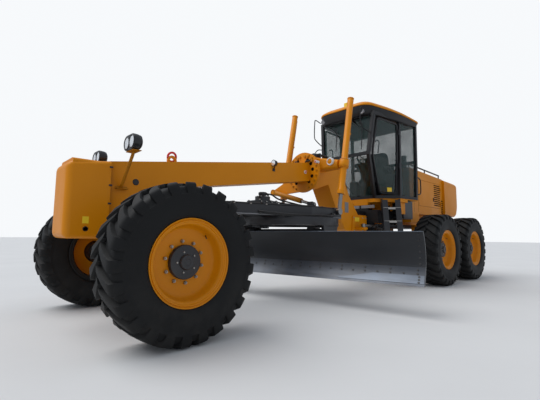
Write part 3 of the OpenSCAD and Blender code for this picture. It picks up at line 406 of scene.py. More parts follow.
@dataclass(frozen=True)
class BladeSteel:
    """The blade's dark painted steel, rubbed paler towards its lower edge, with streaks along it."""

    name: str
    slot: str
    color: tuple[float, float, float]
    worn: tuple[float, float, float]
    low: float
    high: float
    roughness: float = 0.38

    def build(self, groups: dict[str, bpy.types.NodeTree]) -> bpy.types.Material:
        """Makes the material: wear goes with height between low and high, broken by long noise.

        Args:
            groups: The shared node groups by name.

        Returns:
            The material.
        """
        made = bpy.data.materials.new(self.name)
        made.use_nodes = True
        n = Nodes(made.node_tree)
        shader = made.node_tree.nodes["Principled BSDF"]
        z = n.add("SeparateXYZ", Vector=n.add("TexCoord").outputs["Object"]).outputs["Z"]
        streak = n.noise(9.0, 5, (1, 0.25, 3), (0, 0, math.radians(10.8)))
        edge = n.math("MULTIPLY", n.span(z, self.low, self.high, 1.0, 0.0), n.span(streak, 0.3, 0.62, 0.25, 1.0))
        mottle = n.add("Group", node_tree=groups["mottle"], Color=(*self.color, 1),
                       Deep=(*[c * 0.55 for c in self.color], 1), Scale=1.4, Amount=0.5, Roughness=self.roughness)
        worn = n.mix(edge, mottle.outputs["Color"], (*self.worn, 1))
        dust = n.add("Group", node_tree=groups["dust"], Color=worn, Roughness=mottle.outputs["Roughness"],
                     Level=0.7, Amount=0.22)
        n.feed(shader.inputs["Base Color"], dust.outputs["Color"])
        n.feed(shader.inputs["Roughness"], dust.outputs["Roughness"])
        n.feed(shader.inputs["Normal"], n.add("Bump", Height=streak, Distance=0.0012, Strength=0.5).outputs[0])
        shader.inputs["Metallic"].default_value = 0.3
        return made


# Farther than any part of the machine
FAR = 100.0
YELLOW = (0.70, 0.245, 0.001)
YELLOW_DEEP = (0.60, 0.195, 0.001)

FINISHES: dict[str, Finish | Pane | BladeSteel] = {
    "paint": Finish("yellow_paint", "paint", YELLOW, YELLOW_DEEP, 0.42, coat=0.06, dust=0.02, dust_level=1.2,
                    specular=0.2),
    # Rear frame paint with painted shade between its rails below the cab, where shade falls
    "undercab_shade": PaintedShadeBox("two_tone_paint", "paint", YELLOW, YELLOW_DEEP, 0.45, dust=0.03, specular=0.2),
    "axle": Finish("axle_yellow", "axle_paint", (0.50, 0.190, 0.003), (0.26, 0.10, 0.006), 0.48, amount=0.6, dust=0.15,
                   specular=0.2),
    # Rim paint with painted shade on the inner half of every rim, the side turned in under the machine
    "rim": PaintedShadeBox("rim_yellow", "rim_paint", (0.68, 0.240, 0.001), (0.52, 0.170, 0.001), 0.42, coat=0.08,
                       dust=0.05,
                       dust_level=0.7, specular=0.2, rear=-FAR, half=1.050, level=FAR),
    "graphite": Finish("graphite_paint", "graphite", (0.019, 0.019, 0.022), (0.034, 0.034, 0.037), 0.42,
                       grain=Grain.CAST, dust=0.16, amount=0.5),
    "black": Finish("black_paint", "black_paint", (0.016, 0.016, 0.018), (0.035, 0.035, 0.037), 0.38, dust=0.12),
    "lamp": Finish("lamp_housing", "lamp_black", (0.012, 0.012, 0.013), (0.03, 0.03, 0.03), 0.3, dust=0.05),
    # Chrome kept dark below its own brightness: painted shade on the lift, shift, tip and hinge rods
    "chrome": Finish("chrome_rod", "chrome_rod", (0.30, 0.29, 0.28), (0.20, 0.19, 0.18), 0.26, metallic=1.0,
                     grain=Grain.SMOOTH, dust=0.08),
    "bolt": Finish("zinc_bolt", "chrome_rod", (0.42, 0.40, 0.37), (0.22, 0.20, 0.17), 0.42, metallic=0.8,
                   grain=Grain.CAST, dust=0.15),
    "blade": BladeSteel("blade_steel", "blade_steel", (0.020, 0.022, 0.026), (0.060, 0.070, 0.088), 0.36, 0.62),
    "edge": BladeSteel("edge_steel", "edge_steel", (0.045, 0.052, 0.066), (0.095, 0.112, 0.145), 0.33, 0.55, 0.36),
    # Near-black painted shade in holes and slots; the hood's seams take it as their dark joint colour
    "hole_shade_and_seams": Finish("dark_opening", "lamp_black", (0.003, 0.003, 0.003), (0.006, 0.006, 0.006), 0.9, dust=0.0,
                   specular=0.05),
    "worn_edge": BladeSteel("worn_steel", "edge_steel", (0.115, 0.140, 0.180), (0.165, 0.195, 0.245), 0.33, 0.55, 0.42),
    "cab_black": Finish("cab_black", "black_paint", (0.013, 0.0125, 0.014), (0.024, 0.023, 0.025), 0.36, dust=0.03,
                        specular=0.35),
    "mesh": Finish("radiator_mesh", "graphite", (0.012, 0.012, 0.013), (0.03, 0.03, 0.03), 0.6, grain=Grain.CLOTH,
                   scale=30.0, dust=0.3),
    "iron": Finish("engine_iron", "engine_iron", (0.09, 0.09, 0.09), (0.05, 0.045, 0.04), 0.55, grain=Grain.CAST,
                   dust=0.3),
    "rubber": Finish("tyre_rubber", "tyre", (0.0050, 0.0055, 0.0060), (0.011, 0.011, 0.0115), 0.64, grain=Grain.RUBBER,
                     dust=0.035, dust_level=0.9, amount=0.6, specular=0.25),
    "plastic": Finish("moulded_plastic", "interior", (0.028, 0.029, 0.031), (0.05, 0.05, 0.052), 0.5,
                      grain=Grain.CAST, dust=0.05),
    "seat": Finish("seat_cloth", "interior", (0.045, 0.047, 0.052), (0.02, 0.021, 0.024), 0.9, grain=Grain.CLOTH,
                   dust=0.0, amount=0.6, scale=9.0),
    "hose": Finish("hose_rubber", "black_paint", (0.012, 0.012, 0.013), (0.03, 0.03, 0.03), 0.5,
                   grain=Grain.RUBBER, dust=0.1),
    "red": Finish("red_paint", "paint", (0.62, 0.015, 0.02), (0.4, 0.01, 0.01), 0.35, dust=0.05),
    "label": Finish("label_yellow", "paint", (0.93, 0.62, 0.02), (0.85, 0.52, 0.02), 0.4, dust=0.02, coat=0.2),
    "white": Finish("white_paint", "paint", (0.75, 0.76, 0.76), (0.5, 0.5, 0.5), 0.4, dust=0.1),
    "grey": Finish("grey_plate", "graphite", (0.22, 0.22, 0.23), (0.15, 0.15, 0.16), 0.4, metallic=0.3, dust=0.1),
    # Lamp bowls and the work lamp's glass glow a little: a painted glint, as no bulb is modelled
    "reflector": Finish("lamp_reflector", "chrome_rod", (0.85, 0.86, 0.88), (0.6, 0.62, 0.65), 0.12, metallic=1.0,
                        grain=Grain.SMOOTH, dust=0.0, painted_glow=0.25),
    "lining": Finish("roof_lining", "interior", (0.022, 0.024, 0.026), (0.04, 0.042, 0.044), 0.7, dust=0.0),
    "tail_red": Finish("tail_lens", "lamp_black", (0.45, 0.01, 0.012), (0.3, 0.01, 0.01), 0.15, dust=0.03,
                       grain=Grain.SMOOTH, coat=0.6),
    "amber": Finish("amber_lens", "lamp_black", (0.75, 0.22, 0.01), (0.6, 0.15, 0.01), 0.15, dust=0.03,
                    grain=Grain.SMOOTH, coat=0.6),
    "glass": Pane("tinted_glass", "glass", (0.018, 0.052, 0.046), 0.02, 0.36),
    "lens": Pane("lamp_lens", "glass", (0.8, 0.84, 0.86), 0.04, 0.35),
}


# Shapes


def ring_faces(rows: int, cols: int, wrap_rows: bool, wrap_cols: bool) -> Array:
    """Quads of a grid of rows times cols points: (i, j), (i, j+1), (i+1, j+1), (i+1, j).

    Args:
        rows: Rows of points.
        cols: Points in a row.
        wrap_rows: Whether the last row joins the first.
        wrap_cols: Whether a row's last point joins its first.

    Returns:
        Four point numbers for each quad.
    """
    i = np.arange(rows if wrap_rows else rows - 1)[:, None]
    j = np.arange(cols if wrap_cols else cols - 1)[None, :]
    i2, j2 = (i + 1) % rows, (j + 1) % cols
    quads = np.stack(np.broadcast_arrays(i * cols + j, i * cols + j2, i2 * cols + j2, i2 * cols + j), -1)
    return quads.reshape(-1, 4)


@dataclass
class Shape:
    """Grids of points that become one piece."""

    points: list[Array] = field(default_factory=list)
    faces: list[Array] = field(default_factory=list)
    count: int = 0

    def put(self, points: Array, faces: Array) -> None:
        """Adds points of any grid and the faces that join them.

        Args:
            points: The points.
            faces: Faces by the points' numbers in this grid.
        """
        points = np.asarray(points, float).reshape(-1, 3)
        self.points.append(points)
        self.faces.append(np.asarray(faces, int) + self.count)
        self.count += len(points)

    def grid(self, points: Array, wrap_rows: bool = False, wrap_cols: bool = False) -> None:
        """Adds a grid of rows times columns times 3 numbers."""
        self.put(points, ring_faces(points.shape[0], points.shape[1], wrap_rows, wrap_cols))

    def closed(self, rings: Array) -> None:
        """Adds rings of points, closed round and closed at both ends by a point in each end's middle."""
        ends = [np.repeat(r.mean(0)[None, None], rings.shape[1], 1) for r in (rings[0], rings[-1])]
        self.grid(np.concatenate([ends[0], rings, ends[1]]), wrap_cols=True)

    def lathe(self, profile: list[tuple[float, float]], centre: tuple[float, float, float], axis: Axis,
              steps: int = 48, loop: bool = False) -> None:
        """Turns a profile about an axis: at angle t a point is centre + along * axis + r * (cos t, sin t).

        Args:
            profile: Pairs of the distance along the axis and the radius.
            centre: The point of the axis where the distance is zero.
            axis: The axis.
            steps: Points round.
            loop: Whether the profile closes on itself.
        """
        along, r = np.asarray(profile, float).T
        t = np.linspace(0, 2 * np.pi, steps, endpoint=False)
        out = np.empty((len(along), steps, 3))
        a = axis.value
        out[..., a] = along[:, None]
        out[..., (a + 1) % 3] = r[:, None] * np.cos(t)
        out[..., (a + 2) % 3] = r[:, None] * np.sin(t)
        self.grid(out + np.asarray(centre, float), wrap_rows=loop, wrap_cols=True)

    def rod(self, start: tuple, end: tuple, radius: float, steps: int = 16) -> None:
        """Adds a round bar between two points."""
        self.tube(np.array([start, end], float), radius, steps)

    def tube(self, path: Array, radius: float, steps: int = 10) -> None:
        """Carries a circle along a path: p + radius * (cos t * u + sin t * v), with u as level as it can be.

        Args:
            path: Points of the path.
            radius: The tube's radius.
            steps: Points round.
        """
        path = np.asarray(path, float)
        along = np.gradient(path, axis=0)
        along /= np.linalg.norm(along, axis=1)[:, None]
        up = np.where(np.abs(along[:, 2:]) > 0.93, [[1.0, 0, 0]], [[0.0, 0, 1]])
        u = np.cross(up, along)
        for k in range(1, len(u)):
            u[k] = u[k - 1] - along[k] * (u[k - 1] @ along[k])
        u /= np.linalg.norm(u, axis=1)[:, None]
        v = np.cross(along, u)
        t = np.linspace(0, 2 * np.pi, steps, endpoint=False)
        circle = np.cos(t)[None, :, None] * u[:, None] + np.sin(t)[None, :, None] * v[:, None]
        rings = path[:, None] + radius * circle
        self.closed(rings)

    def box(self, low: tuple, high: tuple) -> None:
        """Adds a box, whose corners are low + (high - low) * (0 or 1 in each coordinate).

        Args:
            low: Its lowest corner.
            high: Its highest corner.
        """
        lo, hi = np.asarray(low, float), np.asarray(high, float)
        pick = np.array([[i, j, k] for i in (0, 1) for j in (0, 1) for k in (0, 1)])
        self.put(lo + (hi - lo) * pick, [[0, 1, 3, 2], [4, 6, 7, 5], [0, 4, 5, 1], [2, 3, 7, 6], [0, 2, 6, 4],
                                         [1, 5, 7, 3]])

    def slab(self, outline: Array, low: Array | float, high: Array | float, axis: Axis) -> None:
        """Carries an outline along an axis, from low to high.

        Args:
            outline: Points of the outline in the other two coordinates, in the order of X, Y, Z.
            low: Where the outline starts along the axis, one number or one for each point.
            high: Where it ends.
            axis: The axis.
        """
        outline = np.asarray(outline, float)
        rings = np.empty((2, len(outline), 3))
        others = [k for k in range(3) if k != axis.value]
        rings[..., others] = outline
        rings[0, :, axis.value], rings[1, :, axis.value] = low, high
        self.closed(rings)

    def bolts(self, places: Array, out: tuple[float, float, float], radius: float, height: float) -> None:
        """Adds hexagon heads: rings of six points along the outward direction, one array for all heads.

        Args:
            places: Points where the heads stand.
            out: The way that the heads point.
            radius: Radius over their corners.
            height: Their height.
        """
        places = np.asarray(places, float).reshape(-1, 3)
        w = np.asarray(out, float) / np.linalg.norm(out)
        u = np.cross(w, [0.0, 0, 1] if abs(w[2]) < 0.9 else [1.0, 0, 0])
        u /= np.linalg.norm(u)
        v = np.cross(w, u)
        t = np.arange(6) * np.pi / 3
        ring = np.cos(t)[:, None] * u + np.sin(t)[:, None] * v
        up, wide = np.array([(0.0, 0.0), (0.0, 1.0), (0.8, 1.0), (1.0, 0.82), (1.0, 0.0)]).T[..., None, None]
        one = up * height * w + wide * radius * ring
        for p in places:
            self.grid(one + p, wrap_cols=True)

    def rail(self, path: Array, out: tuple[float, float, float], width: float, depth: float) -> None:
        """Carries a bar with cut corners round a closed path: p + a * n + b * (n x tangent), with n the outward way.

        Args:
            path: Points of the closed path.
            out: The outward way.
            width: The bar's size along the surface.
            depth: The bar's size along the outward way.
        """
        path = np.asarray(path, float)
        tangent = np.roll(path, -1, 0) - np.roll(path, 1, 0)
        tangent /= np.linalg.norm(tangent, axis=1)[:, None]
        n = np.asarray(out, float) - tangent * (tangent @ np.asarray(out, float))[:, None]
        n /= np.linalg.norm(n, axis=1)[:, None]
        side = np.cross(n, tangent)
        d, w, cut = depth / 2, width / 2, 0.2 * min(width, depth)
        a = np.array([d, d - cut, cut - d, -d, -d, cut - d, d - cut, d])[None, :, None]
        b = np.array([w - cut, w, w, w - cut, cut - w, -w, -w, cut - w])[None, :, None]
        self.grid(path[:, None] + a * n[:, None] + b * side[:, None], wrap_rows=True, wrap_cols=True)

    def sheet(self, points: Array, thick: float) -> None:
        """Gives a grid of points a thickness: p and p + thick * n, n being the grid's normal, joined round the edge.

        Args:
            points: Rows times columns times 3 numbers.
            thick: The thickness, along the normal.
        """
        n = np.cross(np.gradient(points, axis=0), np.gradient(points, axis=1))
        n /= np.linalg.norm(n, axis=2)[..., None]
        rings = np.concatenate([points, (points + thick * n)[:, ::-1]], 1)
        rows, cols = points.shape[:2]
        j = np.arange(cols - 1)
        cap = np.stack([j, j + 1, 2 * cols - 2 - j, 2 * cols - 1 - j], 1)
        self.put(rings, np.concatenate([ring_faces(rows, 2 * cols, False, True), cap, cap + (rows - 1) * 2 * cols]))

    def pad(self, centre: tuple, half: tuple, tilt: float, seams: tuple = ()) -> None:
        """Adds a crowned cushion.

        With C and S the cosine and sine raised to a power under one, a point is x = a C(u) C(v), y = b C(u) S(v),
        z = c S(u) * crown, where crown is 1 + 0.15 (1 - x^2 / a^2) (1 - y^2 / b^2) less a bell curve at each seam.

        Args:
            centre: The cushion's centre.
            half: Half its length, width and thickness.
            tilt: Turn about Y in degrees.
            seams: Places of its seams, as shares of the half width.
        """
        u = np.linspace(-np.pi / 2, np.pi / 2, 25)[:, None]
        v = np.linspace(-np.pi, np.pi, 56, endpoint=False)[None]

        def soft(wave: Array, power: float) -> Array:
            """A wave raised to a power, with its sign kept."""
            return np.sign(wave) * np.abs(wave) ** power

        x = soft(np.cos(u), 0.45) * soft(np.cos(v), 0.4)
        y = soft(np.cos(u), 0.45) * soft(np.sin(v), 0.4)
        z = soft(np.sin(u), 0.6) * np.ones_like(v)
        press = sum(np.exp(-(((y - s) / 0.05) ** 2)) for s in seams) if seams else 0.0
        z = z * (1 + 0.15 * (1 - x**2) * (1 - y**2) - 0.2 * press)
        points = np.stack([half[0] * x, half[1] * y, half[2] * z], -1)
        self.grid(points @ spin(Axis.Y, tilt).T + np.asarray(centre, float), wrap_cols=True)

    def move(self, turn: Array, origin: tuple) -> "Shape":
        """Turns all points by a matrix and then sets them at an origin."""
        self.points = [p @ turn.T + np.asarray(origin, float) for p in self.points]
        return self

    def mirrored(self) -> "Shape":
        """A copy on the other side of the machine, with its faces turned back outwards.

        Returns:
            The copy.
        """
        other = Shape(count=self.count)
        other.points = [p * [1, -1, 1] for p in self.points]
        other.faces = [f[:, ::-1] for f in self.faces]
        return other

    def join(self, other: "Shape") -> "Shape":
        """Adds all of another shape.

        Args:
            other: The other shape.

        Returns:
            This shape.
        """
        for p, f in zip(other.points, self.renumbered(other)):
            self.points.append(p)
            self.faces.append(f)
        self.count += other.count
        return self

    def renumbered(self, other: "Shape") -> list[Array]:
        """The other shape's faces, numbered after this shape's points."""
        return [f + self.count for f in other.faces]

    def both(self) -> "Shape":
        """Adds the mirrored copy."""
        return self.join(self.mirrored())


def spin(axis: Axis, degrees: float) -> Array:
    """The matrix of a turn about an axis."""
    return np.array(Matrix.Rotation(math.radians(degrees), 3, axis.name))


def arc_corners(points: Array, reach: float | Array, steps: int = 4) -> Array:
    """Rounds the corners of a closed path: (1 - t)^2 a + 2 t (1 - t) corner + t^2 b.

    Args:
        points: The corners.
        reach: How far a and b lie before and after each corner.
        steps: Stretches in each corner.

    Returns:
        The rounded path.
    """
    p = np.asarray(points, float)
    far = np.broadcast_to(reach, len(p))[:, None]
    back, ahead = np.roll(p, 1, 0) - p, np.roll(p, -1, 0) - p
    a = p + back / np.linalg.norm(back, axis=1)[:, None] * far
    b = p + ahead / np.linalg.norm(ahead, axis=1)[:, None] * far
    t = np.linspace(0, 1, steps + 1)[None, :, None]
    return ((1 - t) ** 2 * a[:, None] + 2 * t * (1 - t) * p[:, None] + t**2 * b[:, None]).reshape(-1, p.shape[1])


def rounded(half_w: float, low: float, high: float, radius: float, steps: int = 5) -> Array:
    """A rectangle with round corners, in two coordinates: each corner is centre + radius * (cos t, sin t).

    Args:
        half_w: Half the width.
        low: Lowest value of the second coordinate.
        high: Its highest value.
        radius: The corners' radius.
        steps: Points in each corner.

    Returns:
        The outline's points.
    """
    t = np.linspace(0, np.pi / 2, steps)
    centres = [(half_w - radius, high - radius), (-half_w + radius, high - radius),
               (-half_w + radius, low + radius), (half_w - radius, low + radius)]
    return np.concatenate([
        np.stack([cx + radius * np.cos(t + k * np.pi / 2), cz + radius * np.sin(t + k * np.pi / 2)], 1)
        for k, (cx, cz) in enumerate(centres)])


def smooth_path(points: list[tuple], steps: int = 8) -> Array:
    """A Catmull-Rom curve through the points.

    Args:
        points: Points that the curve passes through.
        steps: Stretches between two points.

    Returns:
        The curve's points.
    """
    p = np.asarray(points, float)
    p = np.concatenate([[2 * p[0] - p[1]], p, [2 * p[-1] - p[-2]]])
    t = np.linspace(0, 1, steps, endpoint=False)[:, None]
    parts = [
        0.5 * (2 * p[k] + (p[k + 1] - p[k - 1]) * t + (2 * p[k - 1] - 5 * p[k] + 4 * p[k + 1] - p[k + 2]) * t**2
               + (3 * p[k] - p[k - 1] - 3 * p[k + 1] + p[k + 2]) * t**3)
        for k in range(1, len(p) - 2)]
    return np.concatenate([*parts, p[-2:-1]])


class Workshop:
    """Makes the finishes once, and turns shapes into dressed pieces."""

    def __init__(self, frame: dict) -> None:
        """Builds the groups and the materials.
        """
        self.frame = frame
        self.groups = {"mottle": mottle_group(), "dust": dust_group()}
        self.materials = {key: finish.build(self.groups) for key, finish in FINISHES.items()}

    def piece(self, name: str, shape: Shape, finish: str, body: str, replaces: tuple[str, ...] = (),
              bevel: float = 0.0, smooth: float = 35.0) -> bpy.types.Object:
        """Makes one piece of the object.

        Args:
            name: The piece's name.
            shape: Its points and faces, from the front axle.
            finish: Key of its finish.
            body: The body that it rides on.
            replaces: Nodes that it stands for.
            bevel: Width of its rounded edges.
            smooth: Angle in degrees under which an edge is shaded smooth.

        Returns:
            The object.
        """
        mesh = bpy.data.meshes.new(name)
        verts = np.concatenate(shape.points) + [FRONT_AXLE_X, 0, 0]
        faces = [f for part in shape.faces for f in part.tolist()]
        mesh.from_pydata(verts.tolist(), [], faces)
        work = bmesh.new()
        work.from_mesh(mesh)
        bmesh.ops.remove_doubles(work, verts=work.verts, dist=1e-5)
        bmesh.ops.dissolve_degenerate(work, edges=work.edges, dist=1e-6)
        bmesh.ops.recalc_face_normals(work, faces=work.faces)
        work.to_mesh(mesh)
        work.free()
        mesh.polygons.foreach_set("use_smooth", np.ones(len(mesh.polygons), bool))
        mesh.set_sharp_from_angle(angle=math.radians(smooth))
        made = bpy.data.objects.new(name, mesh)
        bpy.context.scene.collection.objects.link(made)
        mesh.materials.append(self.materials[finish])
        if bevel:
            self.soften(made, bevel)
        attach(made, body)
        if replaces:
            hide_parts(*replaces)
        log.info("%s: %d faces on %s", name, len(mesh.polygons), body)
        return made

    @staticmethod
    def soften(made: bpy.types.Object, width: float, angle: float = 32.0) -> None:
        """Rounds the sharp edges of a piece with a bevel of that width.

        Args:
            made: The object.
            width: The bevel's width.
            angle: Least angle between two faces, in degrees.
        """
        mod = made.modifiers.new("round_edges", "BEVEL")
        mod.width, mod.segments, mod.limit_method = width, 2, "ANGLE"
        mod.angle_limit = math.radians(angle)
        mod.harden_normals = True

    def dress(self, node: str, finish: str, bevel: float = 0.0) -> None:
        """Gives a node of the frame its finish and rounds its edges.

        Args:
            node: The node's name.
            finish: Key of its finish.
            bevel: Width of its rounded edges, or zero for none.
        """
        made = self.frame["nodes"][node]
        made.data.materials.clear()
        made.data.materials.append(self.materials[finish])
        if bevel:
            weld = made.modifiers.new("join_faces", "WELD")
            weld.merge_threshold = 0.00002
            self.soften(made, bevel)
        log.info("%s: dressed as %s", node, finish)


# Wheels


class Row(Enum):
    """A pair of wheels: its letter and where its axle is."""

    FRONT = ("f", 0.0)
    MIDDLE = ("m", -6.219 + 0.770)
    REAR = ("r", -6.219 - 0.770)


@dataclass
class Wheel:
    """A tyre with chevron lugs on a dished rim with its hub and nuts."""

    row: Row
    side: int
    track: float = 1.078
    centre_z: float = 0.665
    lugs: int = 25
    lug_lead: float = 0.20
    carcass: tuple = (
        (-0.1500, 0.3190), (-0.164, 0.3450), (-0.174, 0.3635), (-0.186, 0.3660), (-0.198, 0.3760), (-0.208, 0.3950),
        (-0.2140, 0.4150), (-0.2185, 0.4400), (-0.2205, 0.4800),
        (-0.2200, 0.5200), (-0.2160, 0.5480), (-0.2185, 0.5540), (-0.2185, 0.5600), (-0.2110, 0.5680),
        (-0.2020, 0.5950),
        (-0.1880, 0.6160), (-0.1600, 0.6260), (-0.0800, 0.6290), (0.0, 0.6300),
    )
    # Distance out from the tyre's middle and radius: the dish, its lock ring and flange, the inner flange, the disc
    rim_profile: tuple = (
        (0.052, 0.140), (0.052, 0.262), (0.060, 0.280), (0.080, 0.294), (0.128, 0.303), (0.158, 0.310), (0.166, 0.318),
        (0.167, 0.326), (0.174, 0.330), (0.181, 0.334), (0.182, 0.341), (0.176, 0.345), (0.178, 0.349), (0.187, 0.352),
        (0.191, 0.357), (0.190, 0.362), (0.183, 0.363), (0.176, 0.360), (0.172, 0.340), (0.170, 0.3185),
        (-0.170, 0.3185),
        (-0.176, 0.345), (-0.180, 0.361), (-0.188, 0.362), (-0.191, 0.356), (-0.186, 0.345), (-0.178, 0.318),
        (-0.150, 0.303), (0.020, 0.300), (0.030, 0.262), (0.030, 0.140),
    )
    hub_profile: tuple = (
        (-0.060, 0.0), (-0.060, 0.110), (0.020, 0.130), (0.052, 0.141), (0.086, 0.143), (0.096, 0.138), (0.100, 0.128),
        (0.100, 0.108), (0.104, 0.100), (0.106, 0.066), (0.122, 0.062), (0.128, 0.056), (0.129, 0.030), (0.125, 0.026),
        (0.124, 0.0),
    )
    nuts: int = 10
    nut_ring: float = 0.173
    caps: int = 5
    cap_ring: float = 0.086
    valve_ring: float = 0.290
    valve_angle: float = 2.3
    # Along a lug: distance from the tyre's middle, outer radius, foot radius, half width over and at the foot
    lug_rows: tuple = (
        (-0.010, 0.6650, 0.6150, 0.020, 0.030), (0.030, 0.6648, 0.6150, 0.024, 0.034),
        (0.080, 0.6640, 0.6150, 0.029, 0.040),
        (0.130, 0.6620, 0.6140, 0.034, 0.046), (0.170, 0.6590, 0.6080, 0.039, 0.050),
        (0.196, 0.6530, 0.5980, 0.043, 0.052),
        (0.211, 0.6380, 0.5880, 0.044, 0.052), (0.2185, 0.6100, 0.5760, 0.043, 0.050),
        (0.2205, 0.5780, 0.5640, 0.041, 0.047),
        (0.2190, 0.5610, 0.5560, 0.038, 0.044),
    )

    @property
    def key(self) -> str:
        """The wheel's two letters."""
        return self.row.value[0] + ("l" if self.side > 0 else "r")

    @property
    def centre(self) -> tuple[float, float, float]:
        """The wheel's centre."""
        return (self.row.value[1], self.side * self.track, self.centre_z)

    def lug_grid(self, hand: int, phase: float) -> Array:
        """Every lug of one half of the tread in one array.

        A lug's middle line is at angle a(y) = start + lead * (1 - y / 0.2)^1.2 for |y| under 0.2, level beyond it;
        across it the points go foot, flank, top, top, flank, foot, at a(y) -+ half width / radius.

        Args:
            hand: 1 for the outer half, -1 for the inner.
            phase: Share of a lug's pitch by which this half is turned.

        Returns:
            Lugs times rows times six points times three coordinates, about the wheel's centre.
        """
        y, top, foot, w_top, w_foot = np.asarray(self.lug_rows).T
        lead = self.lug_lead * np.clip(1 - y / 0.2, 0, 1.1) ** 1.2
        start = (np.arange(self.lugs) + phase) * 2 * np.pi / self.lugs
        angle = start[:, None] + lead[None]
        r = np.stack([foot, top - 0.004, top, top, top - 0.004, foot], -1)
        side = np.stack([-w_foot, -w_top - 0.003, -w_top, w_top, w_top + 0.003, w_foot], -1)
        inner = np.minimum(y, 0.197 - 0.5 * (0.62 - foot).clip(0, 0.02))
        yy = np.stack([inner, y - 0.002, y, y, y - 0.002, inner], -1)
        t = angle[..., None] + (side / 0.64)[None]
        rr, yy = np.broadcast_to(r, t.shape), np.broadcast_to(yy, t.shape)
        return np.stack([rr * np.cos(t), hand * yy, rr * np.sin(t)], -1)

    def tyre(self, shop: Workshop) -> None:
        """Makes the tyre: the carcass is turned from its profile, and 25 lugs stand on each half.

        Args:
            shop: The workshop.
        """
        shape = Shape()
        half = list(self.carcass)
        profile = half + [(-y, r) for y, r in half[-2::-1]]
        shape.lathe(profile, (0, 0, 0), Axis.Y, 96, loop=True)
        for hand, phase in ((1, 0.0), (-1, 0.5)):
            for lug in self.lug_grid(hand, phase):
                shape.closed(lug)
        shape.points = [p + np.array(self.centre) for p in shape.points]
        shop.piece("tyre_tread_" + self.key, shape, "rubber", "wheel_" + self.key, ("tyre_" + self.key,), smooth=38)

    def rim(self, shop: Workshop) -> None:
        """Makes the rim: a turned profile with a flange, a lock ring, a cone down to the disc, and the disc.

        Args:
            shop: The workshop.
        """
        s = self.side
        x, y, z = self.centre
        body = Shape()
        body.lathe([(s * a, r) for a, r in self.rim_profile], self.centre, Axis.Y, 96, loop=True)
        shop.piece("rim_dish_" + self.key, body, "rim", "wheel_" + self.key, ("rim_" + self.key,), smooth=40)
        hub = Shape()
        hub.lathe([(s * a, r) for a, r in self.hub_profile], self.centre, Axis.Y, 48)
        shop.piece("hub_" + self.key, hub, "graphite", "wheel_" + self.key, smooth=35)
        nuts = Shape()
        t = np.arange(self.nuts) * 2 * np.pi / self.nuts + 0.2
        r = self.nut_ring
        ring = np.stack([x + r * np.cos(t), np.full(self.nuts, y + s * 0.050), z + r * np.sin(t)], 1)
        nuts.bolts(ring, (0, s, 0), 0.0155, 0.022)
        nuts.bolts(ring, (0, s, 0), 0.0080, 0.034)
        t = np.arange(self.caps) * 2 * np.pi / self.caps
        r = self.cap_ring
        caps = np.stack([x + r * np.cos(t), np.full(self.caps, y + s * 0.103), z + r * np.sin(t)], 1)
        nuts.bolts(caps, (0, s, 0), 0.0085, 0.010)
        shop.piece("nuts_" + self.key, nuts, "bolt", "wheel_" + self.key, smooth=20)

    def valve(self, shop: Workshop) -> None:
        """Adds the tyre's valve stem inside the dish.

        Args:
            shop: The workshop.
        """
        x, y, z = self.centre
        shape = Shape()
        a, r = self.valve_angle, self.valve_ring
        foot = np.array([x + r * math.cos(a), y + self.side * 0.075, z + r * math.sin(a)])
        tip = foot + np.array([-0.03 * math.cos(a), self.side * 0.05, -0.03 * math.sin(a)])
        shape.rod(foot, tip, 0.005, 8)
        shop.piece("valve_" + self.key, shape, "hose", "wheel_" + self.key)

    def build(self, shop: Workshop) -> None:
        """Builds the whole wheel.

        Args:
            shop: The workshop.
        """
        self.tyre(shop)
        self.rim(shop)
        self.valve(shop)


# Front frame


@dataclass
class Nose:
    """The rounded cover over the front end of the beam, with its latches, port and label."""

    front: float = 0.700
    back: float = 0.3103
    half: float = 0.225
    low: float = 0.845
    top_front: float = 1.560
    top_back: float = 1.610
    roll: float = 0.060

    def build(self, shop: Workshop) -> None:
        """Builds the cover: round-cornered rings along X, drawn in by a quarter circle at the front.

        Args:
            shop: The workshop.
        """
        shape = Shape()
        turn = np.linspace(0, np.pi / 2, 7)
        xs = np.concatenate([[self.back, self.back + 0.002, 0.45, self.front - self.roll],
                             self.front - self.roll + self.roll * np.sin(turn[1:])])
        draw = np.concatenate([[0.004, 0, 0, 0], self.roll * (1 - np.cos(turn[1:]))])
        rings = []
        for x, d in zip(xs, draw):
            share = (x - self.back) / (self.front - self.back)
            top = self.top_back + (self.top_front - self.top_back) * share
            ring = rounded(self.half - d, self.low + d, top - d, max(0.045 - 0.4 * d, 0.012), 6)
            rings.append(np.column_stack([np.full(len(ring), x), ring]))
        inner = rounded(self.half - 0.012, self.low + 0.012, self.top_back - 0.012, 0.035, 6)
        shell = [np.column_stack([np.full(len(inner), x), inner]) for x in (self.front - 0.05, self.back)]
        middle = np.repeat(rings[-1].mean(0)[None], len(inner), 0)
        hollow = np.repeat(shell[0].mean(0)[None], len(inner), 0)
        shape.grid(np.stack([hollow, *shell, *rings, middle]), wrap_cols=True)
        shop.piece("nose_shell", shape, "paint", "front", ("nose_cover",), smooth=42)
        latch = Shape()
        for z in (1.545, 1.365, 1.185):
            latch.box((self.back - 0.014, self.half - 0.004, z - 0.009),
                      (self.back + 0.018, self.half + 0.006, z + 0.009))
        latch.both()
        shop.piece("nose_latches", latch, "graphite", "front", bevel=0.003)
        port = Shape()
        port.lathe([(0.0, 0.0), (0.0, 0.022), (0.003, 0.024), (0.004, 0.018), (-0.002, 0.016), (-0.002, 0.0)],
                   (0.515, self.half, 0.935), Axis.Y, 24)
        port.both()
        shop.piece("nose_port", port, "lamp", "front")
        label = Shape()
        label.box((0.490, self.half - 0.001, 0.985), (0.545, self.half + 0.0012, 1.050))
        label.both()
        shop.piece("nose_label", label, "label", "front", bevel=0.001)


